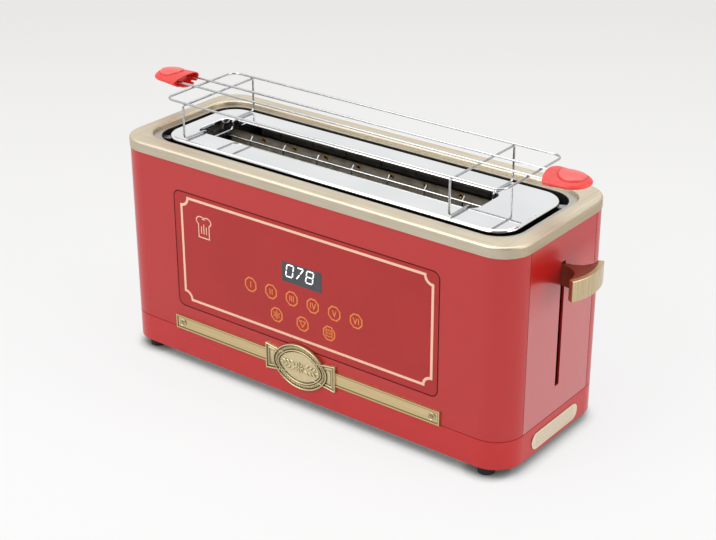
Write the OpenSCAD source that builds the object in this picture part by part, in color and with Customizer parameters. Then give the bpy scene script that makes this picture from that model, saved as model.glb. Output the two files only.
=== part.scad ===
// Long-slot toaster with a touch panel, a push-down lever, a crumb tray and a lift-off bun rack.
// X runs along the body with the lever at +X, the touch panel faces -Y, Z is up from the table.

/* [Body] */
// Length of the body along X
body_l = 380; // [350:1:420]
// Depth of the body, front to back
body_w = 140; // [134:1:160]
// Plan radius of the four body corners
corner_r = 24; // [20:0.5:28]
// Height of the shell between the base band and the top trim
shell_h = 147.5; // [142:0.5:170]
// Sheet thickness of the wrapped shell
shell_t = 1; // [0.8:0.1:1.4]
// Thickness of the moulded end panels
end_t = 1.8; // [1.4:0.1:2.2]
// Height of the base band
base_h = 24; // [22:0.5:30]
// Wall of the base band
base_t = 2.6; // [2.2:0.1:3.4]
// Width of the vents in the base plate
vent_w = 4; // [3:0.5:6]
// Distance between the vents
vent_pitch = 12; // [9:0.5:16]
// Width of the lip inside the base band that rests on the base plate
base_lip = 1.6; // [1.2:0.1:2]
// Height of that lip
base_lip_h = 2; // [1.5:0.1:3]
// Thickness of the base plate
floor_t = 2.5; // [2:0.1:3.5]
// Depth and height of the shadow groove round the seam
seam = 0.6; // [0.4:0.1:0.7]
// Gap between an end panel and the shell beside it
panel_gap = 0.5; // [0.3:0.1:0.8]
// Clearance between fixed pieces that fit into each other
fit = 0.3; // [0.2:0.05:0.4]
// Clearance between pieces that slide
run = 0.4; // [0.3:0.05:0.6]

/* [Feet] */
// Height of the rubber feet
foot_h = 8; // [6:0.5:12]
// Radius of a foot at its top
foot_r = 7.5; // [6.5:0.5:9]
// Taper of a foot towards the table
foot_taper = 0.8; // [0:0.1:1.5]
// Distance of the foot centres from the body ends
foot_in_x = 22; // [20:0.5:40]
// Distance of the foot centres from the body front and back
foot_in_y = 11; // [10.5:0.5:16]
// Radius of the screws under the feet
screw_r = 2; // [1.5:0.1:2.5]
// Radius of the screw heads
screw_head_r = 4; // [3.5:0.1:5]
// Height of the screw heads
screw_head_h = 2.4; // [1.8:0.1:3]
// Length of the screw shanks
screw_l = 36; // [20:1:60]
// Radius of the corner posts that the screws enter
post_r = 5; // [4.5:0.1:6]

/* [Top] */
// Height of the top trim
trim_h = 8.7; // [8:0.1:11]
// Overhang of the trim past the shell
trim_over = 0.5; // [0.2:0.1:1]
// Wall of the trim
trim_t = 3; // [2.6:0.1:3.4]
// Fillet on the upper outer edge of the trim
trim_f = 2; // [1:0.1:3]
// Width of the flat trim top at the ends
trim_end_w = 12.7; // [11:0.1:14]
// Width of the flat trim top along the sides
trim_side_w = 15.5; // [14:0.1:17]
// Plan radius of the inner edge of the trim
trim_in_r = 23; // [18:0.5:26]
// Roll on the inner edge of the trim
trim_in_f = 1.6; // [0.8:0.1:1.8]
// Width of the ledge ring that shows inside the trim
ledge_w = 5.2; // [4:0.1:6]
// Thickness of the ledge ring
ledge_t = 1.2; // [1:0.1:1.6]
// Lap of the ledge ring under the trim
ledge_lap = 1.5; // [1:0.1:1.8]
// Plan radius of the inner edge of the ledge ring
ledge_r = 22; // [18:0.5:24]
// Air gap between the ledge ring and the top plate
air_gap = 5.6; // [5:0.1:7]
// Distance of the black collar behind the edge of the ledge ring
collar_in = 0.8; // [0.4:0.1:1.2]
// Wall of the black collar
collar_t = 1.5; // [1.2:0.1:2]
// Depth of the black collar
collar_h = 14; // [10:0.5:16]
// Plan radius of the top plate
plate_r = 20; // [14:0.5:24]
// Distance of the plate top below the trim top
plate_drop = 1.7; // [1:0.1:2.4]
// Sheet thickness of the top plate
plate_t = 1.2; // [0.8:0.1:1.6]
// Depth of the rim turned down round the top plate
plate_h = 8; // [6:0.1:10]
// Fillet on the edge of the top plate
plate_f = 2.4; // [2:0.1:2.8]
// Distance of the bread slot from the plain end
slot_in_l = 39; // [36:0.5:48]
// Distance of the bread slot from the lever end
slot_in_r = 66; // [62:0.5:76]
// Width of the bread slot
slot_w = 39; // [36:0.5:44]
// Plan radius of the slot ends
slot_r = 9; // [6:0.5:14]
// Depth of the rolled lip round the slot
lip_h = 8.5; // [7:0.1:9]
// Thickness of the rolled lip
lip_t = 3; // [2.4:0.1:3.5]
// Roll radius on the slot edge
lip_f = 1; // [0.6:0.1:1.4]
// Width of the tabs that carry the top plate
tab_w = 7; // [5:0.5:8]
// Thickness of those tabs
tab_t = 1.5; // [1:0.1:2]
// Angle of the tabs round the plate corners
tab_turn = 28; // [15:1:60]
// Depth of the tabs below the plate top
tab_drop = 5; // [4:0.1:6]

/* [Touch panel] */
// Width of the opening for the glass
glass_w = 260; // [230:1:280]
// Height of the opening for the glass
glass_h = 103; // [90:1:108]
// Corner radius of the opening
glass_r = 6; // [3:0.5:10]
// Height of the opening above the seam
glass_z = 21.4; // [20:0.2:26]
// Thickness of the glass
glass_t = 3; // [2.5:0.1:4]
// Gap round the glass
glass_gap = 0.5; // [0.3:0.1:0.8]
// Overlap of the frame behind the shell
frame_lap = 5; // [4:0.5:7]
// Width of the seat behind the glass edge
frame_seat = 5; // [3:0.5:8]
// Thickness of the frame behind the glass seat
frame_t = 2; // [1.5:0.1:3]
// Width of the display window
display_w = 39.4; // [34:0.2:46]
// Height of the display window
display_h = 17; // [14:0.5:20]
// Height of the display above the lower edge of the glass
display_z = 54.6; // [46:0.2:62]
// Depth of the display module
display_d = 8; // [6:0.5:10]
// Margin between the circuit board and the frame window
board_in = 4; // [2:0.5:8]
// Corner radius of the touch circuit board
board_r = 3; // [1:0.5:5]
// Thickness of a circuit board
board_t = 1.6; // [1.2:0.1:2]

/* [Name plate] */
// Length of the brass strip
strip_l = 266; // [240:1:280]
// Height of the brass strip
strip_h = 12; // [10:0.2:14]
// Thickness of the brass strip
strip_t = 1.2; // [0.8:0.1:1.6]
// Height of the raised edge on the strip
strip_rim_h = 0.5; // [0.3:0.1:0.8]
// Width of the raised edge
strip_rim_w = 1.2; // [0.8:0.1:1.6]
// Drop of the strip below the seam
strip_drop = 0.6; // [0:0.1:2]
// Half length of the oval on its pointed axis
oval_a = 27; // [24:0.5:30]
// Half height of the oval
oval_b = 19.3; // [17:0.1:20]
// Thickness of the cartouche body
oval_t = 2.6; // [2:0.1:3.5]
// Height of the raised lines on the cartouche
oval_rim_h = 0.8; // [0.4:0.1:1.2]
// Width of the raised lines
oval_rim_w = 1.2; // [0.8:0.1:1.8]
// Width of the band between the two oval lines
oval_band = 5; // [3.5:0.1:6]
// Overall width across the wings
wing_w = 70; // [64:0.5:78]
// Height of the wings at their outer edge
wing_h = 23; // [18:0.5:26]
// Height of the wings where they meet the oval
wing_root_h = 16; // [12:0.5:18]
// Distance of the rosette pins from the strip ends
pin_in = 7; // [5:0.5:12]
// Radius of the rosette heads
pin_head_r = 3.4; // [2.8:0.1:4]
// Height of the rosette heads
pin_head_h = 1.6; // [1:0.1:2.2]
// Radius of the pin shanks
pin_r = 1.2; // [0.8:0.1:1.6]
// Length of the shank behind the shell
pin_l = 4; // [2:0.5:8]

/* [Lever] */
// Width of the lever slot in the end panel
lever_slot_w = 5.6; // [5:0.1:7]
// Corner radius of the lever slot
lever_slot_r = 1; // [0.5:0.1:2]
// Distance of the lever slot below the trim
lever_slot_drop = 22.8; // [20:0.1:28]
// Height of the lever slot above the seam
lever_slot_z = 21.7; // [20:0.1:25]
// Space above the lever neck at rest
lever_top_gap = 2.3; // [1:0.1:4]
// Space below the lever neck at the end of its travel
lever_low_gap = 4.3; // [2:0.1:8]
// Height of the lever knob
knob_h = 16.4; // [14:0.2:19]
// Width of the lever knob
knob_w = 42; // [34:0.5:48]
// Width of the knob neck in the slot
neck_w = 4.6; // [4:0.1:6]
// Length of the neck behind the end panel
neck_back = 2.4; // [1.5:0.1:3]
// Straight length of the neck in front of the end panel
neck_out = 1.6; // [1:0.1:3]
// Distance from the end panel to the knob ends
knob_reach = 18; // [14:0.5:20]
// Bulge of the knob past its ends
knob_bow = 5; // [3:0.2:8]
// Thickness of the brass band on the knob
band_t = 1.4; // [1:0.1:2]
// Thickness of the steel tongue inside the knob
tongue_t = 1.8; // [1.4:0.1:2.2]
// Height of the tongue
tongue_h = 7; // [5:0.2:9]
// Depth of the tongue in the knob
tongue_in = 10; // [8:0.5:11]

/* [Carriage] */
// Sheet thickness of the carriage
car_t = 2; // [1.5:0.1:2.5]
// Distance from the chassis plate to the carriage
car_x = 8; // [7:0.5:10]
// Half width of the carriage plate
car_half = 26; // [25:0.5:30]
// Height of the carriage plate above the knob top
car_up = 13.6; // [8:0.2:16]
// Space above the carriage at rest
car_top_gap = 6; // [2:0.5:8]
// Radius of the guide rods
rod_r = 2.5; // [2:0.1:3]
// Distance between the guide rods
rod_pitch = 36; // [34:0.5:40]
// Distance of the rods from the carriage plate
rod_x = 9; // [8.5:0.5:12]
// Wall of the bushings on the rods
bush_t = 2.2; // [1.8:0.1:2.8]
// Thickness of the armature plate
arm_t = 3; // [2:0.1:4]
// Width of the armature plate
arm_w = 16; // [12:0.5:18]
// Length of the armature plate
arm_l = 17; // [14:0.5:20]
// Gap between armature and magnet with the lever down
hold_gap = 0.4; // [0.3:0.05:1]
// Height of the electromagnet
mag_h = 22; // [18:0.5:24]
// Radius of the magnet coil
mag_r = 9; // [7:0.5:10]
// Distance of the magnet from the carriage plate
mag_x = 13; // [12:0.5:16]
// Mean radius of the lift spring
spring_r = 3.2; // [2.4:0.1:3.6]
// Wire radius of the lift spring
spring_wire = 0.45; // [0.35:0.05:0.6]
// Distance of the spring from the magnet axis along X
spring_off = 4; // [2:0.5:6]
// Clearance between the spring and the lever tongue
spring_clear = 4; // [3:0.5:5]
// Number of spring coils
spring_n = 17; // [10:1:22]
// Thickness of the bread lift bar
lift_t = 3; // [2:0.1:4]
// Height of the bread lift bar
lift_h = 8; // [6:0.5:10]
// Room beside the bread lift in the chassis plate
lift_room = 1; // [0.6:0.1:1.4]
// Height of the lowered bread lift above the seam
lift_low = 8; // [6:0.5:16]
// Distance of the bread lift from the plain end of the slot
lift_in = 5; // [3:0.5:10]
// Length of a lift finger to each side
lift_finger = 12; // [9:0.5:13]
// Radius of the lift fingers
finger_r = 1.2; // [1:0.1:1.6]

/* [Heating chamber] */
// Thickness of the chassis plates
chas_t = 1.2; // [1:0.1:1.6]
// Width of the chassis plates
chas_w = 80; // [72:0.5:81]
// Gap between a chassis plate and the slot lip
chas_gap = 3.4; // [2:0.1:5]
// Length of the flanges that hold the guide rods
flange_l = 36; // [34:0.5:40]
// Half width of those flanges
flange_half = 26; // [25:0.5:30]
// Height of the lower flange above the seam
flange_z = 2; // [1:0.5:5]
// Height of the leg opening for the crumb tray above the base plate
leg_open_h = 19; // [17:0.5:21]
// Width of each chassis leg
leg_w = 8; // [6:0.5:9]
// Distance of a reflector from the centre line
refl_y = 33.6; // [31:0.2:36]
// Thickness of a reflector
refl_t = 0.8; // [0.6:0.1:1.2]
// Height of the reflector foot above the seam
refl_z = 1; // [0.5:0.1:3]
// Inward lip at the reflector foot
refl_lip = 7; // [4:0.5:9]
// Distance of a heater board from the centre line
mica_y = 25; // [23.5:0.1:28]
// Thickness of a heater board
mica_t = 0.8; // [0.6:0.1:1.2]
// Distance of a heater board from the chassis plates
mica_in = 6; // [4:0.5:9]
// Depth of the heater board's upper edge below the plate top
mica_drop = 8; // [7.5:0.1:20]
// Height of a heater board above the seam
mica_z = 18; // [12:0.5:24]
// Height of the board tabs
mica_tab = 10; // [6:0.5:14]
// Depth of the row of eyelets below the upper edge of a board
eyelet_drop = 6.3; // [4:0.1:8]
// Distance between the eyelets
eyelet_pitch = 33; // [24:0.5:40]
// Distance of the row of eyelets from the middle of the slot
eyelet_off = 14; // [-16:1:16]
// Radius of the eyelet holes
eyelet_r = 1.5; // [1:0.1:2]
// Runs of ribbon on each board
ribbon_n = 9; // [5:1:12]
// Width of the heating ribbon
ribbon_w = 2.4; // [1.5:0.1:3]
// Thickness of the heating ribbon
ribbon_t = 0.3; // [0.2:0.05:0.5]
// Distance of a bread guard from the centre line
guard_y = 15.5; // [14.5:0.1:17]
// Wire radius of a bread guard
guard_r = 0.8; // [0.7:0.05:1]
// Distance between upright guard wires
guard_pitch = 35.4; // [30:0.2:40]
// Distance of the row of uprights from the middle of the slot
guard_off = -2; // [-6:0.5:6]
// Depth of the top guard wire below the plate top
guard_top = 13.8; // [12.5:0.1:18]
// Depth of the guard tips below the plate top
guard_tip = 10.4; // [9.8:0.1:11]
// Outward lean of the guard tips
guard_lean = 3; // [2:0.5:5]
// Height of the lowest guard wire above the seam
guard_low = 20; // [16:0.5:26]

/* [Power parts] */
// Distance of the power board from its flange
stand_h = 4; // [3:0.5:6]
// Length of the power board along X
power_l = 30; // [26:0.5:32]
// Height of the power board
power_h = 104; // [90:1:110]
// Height of the power board above the seam
power_z = 24; // [20:1:30]
// Distance of the power board from the chassis plate
power_gap = 5; // [4:0.5:6]
// Height of the relay
relay_h = 28; // [20:1:30]
// Distance of the parts on the board from its ends
part_in = 8; // [4:0.5:12]
// Width of the relay
relay_w = 18; // [14:0.5:20]
// Depth of the relay
relay_d = 14; // [10:0.5:16]
// Height of the transformer
trafo_h = 30; // [24:1:34]
// Width of the transformer
trafo_w = 20; // [16:0.5:21]
// Depth of the transformer
trafo_d = 15; // [12:0.5:17]
// Width of the ribbon cable to the touch panel
cable_w = 8; // [6:0.5:10]
// Thickness of the ribbon cable
cable_t = 0.8; // [0.6:0.1:1.2]
// Radius of the cord gland barrel
gland_r = 6; // [5:0.2:7]
// Radius of the cord gland bore
gland_bore = 3.4; // [3:0.1:4]
// Distance of the cord gland from the plain end
gland_x = 60; // [40:1:120]

/* [Crumb tray] */
// Width of the tray front
tray_front_w = 66; // [60:0.5:76]
// Height of the tray front
tray_front_h = 14; // [13:0.2:16]
// Height of the tray front above the base underside
tray_front_z = 3.4; // [3:0.1:5]
// Thickness of the tray front
tray_front_t = 3; // [2:0.1:4]
// Distance that the tray front stands proud of the end
tray_proud = 0.6; // [0:0.1:2]
// Width of the tray pan
tray_w = 56; // [48:0.5:58]
// Depth of the tray pan
tray_h = 9; // [6:0.2:9.4]
// Distance of the tray pan from the plain end of the slot
tray_in = 2; // [1:0.5:6]
// Sheet thickness of the tray pan
tray_t = 0.8; // [0.6:0.1:1.2]
// Width of the runners under the tray
runner_w = 3; // [2:0.5:5]

/* [Bun rack] */
// Radius of the rack wire
wire_r = 0.9; // [0.8:0.05:1.1]
// Length of the rack loop between wire centres
rack_l = 323; // [310:1:336]
// Distance of the wire centres at the sides of the rack loop from the edge of the top plate
rack_in = 2.7; // [2.4:0.1:6]
// Height of the rack loop above the top plate
rack_h = 31.4; // [26:0.2:38]
// Plan radius of the rack loop
rack_r = 8; // [6:0.5:12]
// Distance of the left leg wire from the slot end
leg_in_l = 10; // [6:0.5:20]
// Distance of the right leg wire from the slot end
leg_in_r = 6; // [5:0.5:20]
// Distance of the legs outside the rack loop
leg_out = 1.2; // [1:0.1:1.4]
// Bend radius of the leg wires under the loop
leg_top_r = 1.6; // [1.5:0.05:1.7]
// Bend radius of the leg wires at the plate
leg_r = 3.8; // [3:0.1:4]
// Width of the part of a leg wire that dips into the slot
dip_w = 32; // [28:0.5:34]
// Depth of the dip below the plate top
dip_h = 7.5; // [7:0.1:9]
// Distance between the two long bars
bar_pitch = 17.4; // [14:0.2:19]
// Weld depth where two wires cross
weld = 0.1; // [0.05:0.01:0.15]
// Length of a grip
grip_l = 34; // [32:0.5:40]
// Width of a grip
grip_w = 29; // [27:0.5:34]
// Width of a grip at its mouth
grip_mouth_w = 25; // [24:0.5:27]
// Thickness of a grip in the middle
grip_h = 10; // [9.6:0.2:12]
// Loss of thickness towards the grip tip
grip_fall_x = 1.6; // [1:0.1:2]
// Loss of thickness towards the grip sides
grip_fall_y = 2.4; // [1:0.1:2.6]
// Distance of the grip mouth past the rack end
grip_off = 12; // [8:0.5:16]
// Depth of the open mouth
mouth_d = 9; // [6:0.5:11]
// Height of the open mouth above the bars
mouth_h = 2.2; // [1.8:0.1:2.6]
// Wall beside the open mouth
mouth_wall = 2.2; // [1.8:0.1:3]
// Depth of the bars in the grip
bar_in = 22; // [16:0.5:24]
// Radius of the thumb pad
pad_r = 10.2; // [8:0.2:11]
// Height of the thumb pad
pad_h = 0.7; // [0.4:0.1:1.2]

/* [Hidden] */
$fn = 96;
// distance that a cut runs past the face it opens
cut = 1;
// depth by which features of one solid reach into each other
join = 0.2;
z_floor = foot_h;
z_deck = z_floor + floor_t;
z_seam = z_floor + base_h;
z_trim = z_seam + shell_h;
z_top = z_trim + trim_h;
z_plate = z_top - plate_drop;
z_under = z_plate - plate_t;
z_ledge = z_top - trim_t;
x_end = body_l / 2;
y_end = body_w / 2;
end_half = y_end - corner_r;
foot_x = x_end - foot_in_x;
foot_y = y_end - foot_in_y;
// top openings
trim_l = body_l + 2 * trim_over;
trim_w = body_w + 2 * trim_over;
win_l = trim_l - 2 * trim_end_w;
win_w = trim_w - 2 * trim_side_w;
gap_l = win_l - 2 * ledge_w;
gap_w = win_w - 2 * ledge_w;
plate_l = gap_l - 2 * air_gap;
plate_w = gap_w - 2 * air_gap;
slot_x0 = slot_in_l - x_end;
slot_x1 = x_end - slot_in_r;
slot_l = slot_x1 - slot_x0;
slot_xc = (slot_x0 + slot_x1) / 2;
collar_l = gap_l + 2 * (collar_in + collar_t);
collar_w = gap_w + 2 * (collar_in + collar_t);
// chamber
cham_x0 = slot_x0 - lip_t - chas_gap;
cham_x1 = slot_x1 + lip_t + chas_gap;
cham_l = cham_x1 - cham_x0;
chas_x = cham_x1 + chas_t;
mica_x0 = cham_x0 + mica_in;
mica_x1 = cham_x1 - mica_in;
z_mica = z_seam + mica_z;
mica_h = z_plate - mica_drop - z_mica;
// lever and carriage
z_slot = z_seam + lever_slot_z;
lever_slot_h = shell_h - lever_slot_z - lever_slot_drop;
travel = lever_slot_h - knob_h - lever_top_gap - lever_low_gap;
knob_z = z_slot + lever_slot_h - lever_top_gap - knob_h;
car_x0 = chas_x + car_x;
car_x1 = car_x0 + car_t;
z_flange = z_seam + flange_z;
z_flange_top = z_flange + chas_t;
arm_z = z_flange_top + mag_h + hold_gap + travel;
car_z = arm_z + arm_t;
lift_z = z_seam + lift_low + travel;
car_z1 = max(knob_z + knob_h, car_z) + car_up;
z_upper = car_z1 + car_top_gap;
bush_r = rod_r + run + bush_t;
rod_px = car_x1 + rod_x;
mag_px = car_x1 + mag_x;
tongue_z = knob_z + (knob_h - tongue_h) / 2;
spring_x = mag_px + spring_off;
spring_y = spring_r + spring_wire + tongue_t + spring_clear;
// knob
knob_x = x_end + knob_reach;
bow_r = (pow(knob_w / 2, 2) + pow(knob_bow, 2)) / (2 * knob_bow);
bow_x = knob_x + knob_bow - bow_r;
neck_x0 = x_end - end_t - neck_back;
flare_x = x_end + neck_out;
flare_dx = knob_x - band_t - flare_x;
flare_dy = (knob_w - neck_w) / 2;
flare_r = (pow(flare_dx, 2) + pow(flare_dy, 2)) / (2 * flare_dy);
tongue_x1 = x_end + tongue_in;
// tray
tray_z = z_floor + tray_front_z + (tray_front_h - tray_h) / 2;
tray_x0 = slot_x0 + tray_in;
tray_x1 = x_end + tray_proud - tray_front_t;
// touch panel
glass_z0 = z_seam + glass_z;
glass_zc = glass_z0 + glass_h / 2;
glass_y = -y_end + glass_t;
disp_zc = glass_z0 + display_z + display_h / 2;
board_w = glass_w - 2 * (frame_seat + board_in);
board_h = glass_h - 2 * (frame_seat + board_in);
// name plate
strip_zc = z_seam - strip_drop + strip_h / 2;
oval_r = (oval_a * oval_a + oval_b * oval_b) / (2 * oval_b);
pin_x = strip_l / 2 - pin_in;
// power parts
flange_y = -chas_w / 2;
power_y = flange_y - stand_h;
power_x = chas_x + power_gap;
power_z0 = z_seam + power_z;
cable_z = power_z0 + power_h / 2 - cable_w / 2;
// rack
rack_w = plate_w - 2 * rack_in;
rack_z = z_plate + rack_h;
cross_z = rack_z - 2 * wire_r + weld;
bar_z = rack_z + 2 * wire_r - weld;
leg_z = z_plate + fit + wire_r;
dip_z = z_plate - dip_h;
leg_xl = slot_x0 + leg_in_l;
leg_xr = slot_x1 - leg_in_r;
grip_x = rack_l / 2 + grip_off;
// middle of the overall length, which the frame has at X = 0
mid_x = (knob_x + knob_bow - grip_x - grip_l) / 2;

red_paint = "#a3262b";
red_panel = "#8e1f25";
champagne = "#b9aa8c";
brass = "#a8905c";
chrome = "#d8dadc";
steel = "#9a9c9e";
black = "#1d1c1c";
mica_brown = "#8a6a45";
coral = "#e0484a";
green = "#2f5b3c";

// rounded rectangle in plan
module plan(l, w, r) {
  square([l - 2 * r, w], center = true);
  square([l, w - 2 * r], center = true);
  for (x = [-1, 1], y = [-1, 1])
    translate([x * (l / 2 - r), y * (w / 2 - r)])
      circle(r);
}

// straight sides and round ends
module stadium(l, w) {
  square([l - w, w], center = true);
  for (x = [-1, 1])
    translate([x * (l - w) / 2, 0])
      circle(w / 2);
}

// rounded rectangle ring
module plan_ring(l, w, r, t) {
  difference() {
    plan(l, w, r);
    plan(l - 2 * t, w - 2 * t, r - t);
  }
}

// flat section with its two upper corners rounded
module crown(w, h, f) {
  translate([-w / 2, 0])
    square([w, h - f]);
  translate([-w / 2 + f, 0])
    square([w - 2 * f, h]);
  for (x = [-1, 1])
    translate([x * (w / 2 - f), h - f])
      circle(f);
}

// slab with rounded plan and a fillet round its top edge
module pillow(l, w, r, h, f) {
  rotate([90, 0, 0])
    translate([0, 0, r - w / 2])
      linear_extrude(w - 2 * r)
        crown(l, h, f);
  rotate([90, 0, 90])
    translate([0, 0, r - l / 2])
      linear_extrude(l - 2 * r)
        crown(w, h, f);
  for (x = [-1, 1], y = [-1, 1])
    translate([x * (l / 2 - r), y * (w / 2 - r), 0])
      rotate_extrude()
        intersection() {
          crown(2 * r, h, f);
          square([r, h]);
        }
}

// corner section between a flat top and a bore wall at radius r
module roll_section(r, f) {
  difference() {
    translate([r - cut, -f])
      square([f + cut, f + cut]);
    translate([r + f, -f])
      circle(f);
  }
}

// cutter that rolls the upper edge of a slot
module slot_roll(l, w, r, f) {
  for (s = [0, 180]) {
    rotate([0, 0, s])
      translate([0, w / 2 - r, 0])
        rotate([90, 0, 90])
          translate([0, 0, r - l / 2])
            linear_extrude(l - 2 * r)
              roll_section(r, f);
    rotate([0, 0, s])
      translate([l / 2 - r, 0, 0])
        rotate([90, 0, 0])
          translate([0, 0, r - w / 2])
            linear_extrude(w - 2 * r)
              roll_section(r, f);
  }
  for (x = [-1, 1], y = [-1, 1])
    translate([x * (l / 2 - r), y * (w / 2 - r), 0])
      rotate_extrude()
        roll_section(r, f);
}

// pointed oval from two arcs, shrunk by d
module oval(d) {
  intersection() {
    translate([0, oval_b - oval_r])
      circle(oval_r - d);
    translate([0, oval_r - oval_b])
      circle(oval_r - d);
  }
}

// winged outline of the cartouche, shrunk by d
module wings(d) {
  x0 = oval_a / 2;
  polygon([[wing_w / 2 - d, wing_h / 2 - d], [x0, wing_root_h / 2 - d], [-x0, wing_root_h / 2 - d],
    [d - wing_w / 2, wing_h / 2 - d], [d - wing_w / 2, d - wing_h / 2], [-x0, d - wing_root_h / 2],
    [x0, d - wing_root_h / 2], [wing_w / 2 - d, d - wing_h / 2]]);
}

// puts an XY drawing on the front face with its back at y
module on_front(y, z) {
  translate([0, y, z])
    rotate([90, 0, 0])
      children();
}

// copies children to the four foot places
module at_feet() {
  for (x = [-1, 1], y = [-1, 1])
    translate([x * foot_x, y * foot_y, 0])
      children();
}

function unit(v) = v / norm(v);
function turn(a, b) = atan2(a[0] * b[1] - a[1] * b[0], a * b);

// one bend of a wire at corner p between directions a and b
module wire_bend(p, a, b, bend, r) {
  t = turn(a, b);
  side = t > 0 ? 1 : -1;
  back = bend * tan(abs(t) / 2);
  centre = p - a * back + [-a[1], a[0]] * bend * side;
  from = t > 0 ? p - a * back : p + b * back;
  start = atan2(from[1] - centre[1], from[0] - centre[0]);
  translate(centre)
    rotate([0, 0, start])
      rotate_extrude(angle = abs(t))
        translate([bend, 0])
          circle(r);
}

// closed wire in the XY plane through pts with one bend radius per point
module closed_wire(pts, bends, r) {
  n = len(pts);
  for (i = [0 : n - 1]) {
    p0 = pts[(i + n - 1) % n];
    p1 = pts[i];
    p2 = pts[(i + 1) % n];
    p3 = pts[(i + 2) % n];
    a = unit(p1 - p0);
    b = unit(p2 - p1);
    c = unit(p3 - p2);
    back1 = bends[i] * tan(abs(turn(a, b)) / 2);
    back2 = bends[(i + 1) % n] * tan(abs(turn(b, c)) / 2);
    wire_bend(p1, a, b, bends[i], r);
    translate(p1 + b * back1)
      rotate([0, 0, atan2(b[1], b[0])])
        rotate([0, 90, 0])
          cylinder(h = norm(p2 - p1) - back1 - back2, r = r);
  }
}

// straight wire along X from x0 to x1
module rod_x(x0, x1, y, z, r) {
  translate([x0, y, z])
    rotate([0, 90, 0])
      cylinder(h = x1 - x0, r = r);
}

module base_band() {
  color(red_paint)
    difference() {
      union() {
        translate([0, 0, z_floor])
          linear_extrude(base_h)
            plan_ring(body_l, body_w, corner_r, base_t);
        translate([0, 0, z_deck])
          linear_extrude(base_lip_h)
            plan_ring(body_l - base_t, body_w - base_t, corner_r - base_t / 2, base_t / 2 + base_lip);
      }
      translate([0, 0, z_seam - seam])
        linear_extrude(2 * seam)
          plan_ring(body_l + 2 * seam, body_w + 2 * seam, corner_r + seam, 2 * seam);
      tray_mouth(fit);
      gland_hole(fit);
    }
}

// opening for the tray front grown by g, cut through the end wall
module tray_mouth(g) {
  d = base_t + base_lip + 2 * cut;
  translate([x_end - d + cut, 0, z_floor + tray_front_z + tray_front_h / 2])
    rotate([90, 0, 90])
      linear_extrude(d)
        stadium(tray_front_w + 2 * g, tray_front_h + 2 * g);
}

// hole for the cord gland in the rear wall, grown by g
module gland_hole(g) {
  translate([gland_x - x_end, y_end + cut, z_floor + base_h / 2])
    rotate([90, 0, 0])
      cylinder(h = base_t + base_lip + 2 * cut, r = gland_r + g);
}

module base_plate() {
  inset = base_t + fit;
  vent_edge = 8;
  vent_y = (chas_w + vent_w) / 2;
  vent_l = y_end - inset - vent_y - vent_edge;
  vents = floor((foot_x - post_r - vent_pitch) / vent_pitch);
  runner_h = tray_z - run - z_deck;
  runner_x1 = x_end - base_t - base_lip - runner_w;
  color(black) {
    difference() {
      translate([0, 0, z_floor])
        linear_extrude(floor_t)
          plan(body_l - 2 * inset, body_w - 2 * inset, corner_r - inset);
      at_feet()
        translate([0, 0, z_floor - cut])
          cylinder(h = floor_t + 2 * cut, r = screw_r + fit);
      for (i = [-vents : vents], s = [-1, 1])
        translate([i * vent_pitch, s * (vent_y + vent_l / 2), z_floor - cut])
          linear_extrude(floor_t + 2 * cut)
            rotate([0, 0, 90])
              stadium(vent_l, vent_w);
    }
    for (s = [-1, 1])
      translate([tray_x0, s * tray_w / 3 - runner_w / 2, z_deck - join])
        cube([runner_x1 - tray_x0, runner_w, runner_h + join]);
    translate([tray_x0 - run - runner_w, -tray_w / 3, z_deck - join])
      cube([runner_w, tray_w * 2 / 3, tray_z + tray_h / 2 - z_deck]);
  }
}

module rubber_feet() {
  recess = foot_h / 2;
  color(black)
    at_feet()
      difference() {
        cylinder(h = foot_h, r1 = foot_r - foot_taper, r2 = foot_r);
        translate([0, 0, -cut])
          cylinder(h = recess + cut, r = screw_head_r + fit);
        cylinder(h = foot_h + cut, r = screw_r + fit);
      }
}

module foot_screws() {
  recess = foot_h / 2;
  color(steel)
    at_feet() {
      translate([0, 0, recess - screw_head_h])
        cylinder(h = screw_head_h, r = screw_head_r);
      translate([0, 0, recess - join])
        cylinder(h = screw_l + join, r = screw_r);
    }
}

module corner_posts() {
  spare = 2;
  color(black)
    at_feet()
      translate([0, 0, z_deck])
        difference() {
          cylinder(h = z_top - trim_t - z_deck, r = post_r);
          translate([0, 0, -cut])
            cylinder(h = foot_h / 2 + screw_l - z_deck + cut + spare, r = screw_r + fit);
        }
}

// wrapped sheet for one side, with its two rounded corners
module shell_half(s) {
  intersection() {
    translate([0, 0, z_seam])
      linear_extrude(shell_h)
        plan_ring(body_l, body_w, corner_r, shell_t);
    translate([-body_l, s > 0 ? end_half : -body_w, 0])
      cube([2 * body_l, body_w - end_half, 2 * z_top]);
  }
}

module front_shell() {
  color(red_paint)
    difference() {
      shell_half(-1);
      on_front(shell_t + cut - y_end, glass_zc)
        linear_extrude(shell_t + 2 * cut)
          plan(glass_w, glass_h, glass_r);
      pin_holes(shell_t + cut);
    }
}

module rear_shell() {
  color(red_paint)
    shell_half(1);
}

// flat panel between the shell corners
module end_panel() {
  h = end_half - panel_gap;
  translate([x_end - end_t, -h, z_seam])
    cube([end_t, 2 * h, shell_h]);
}

module lever_end_panel() {
  color(red_paint)
    difference() {
      end_panel();
      translate([x_end - end_t - cut, 0, z_slot + lever_slot_h / 2])
        rotate([90, 0, 90])
          linear_extrude(end_t + 2 * cut)
            plan(lever_slot_w, lever_slot_h, lever_slot_r);
    }
}

module plain_end_panel() {
  color(red_paint)
    mirror([1, 0, 0])
      end_panel();
}

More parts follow.
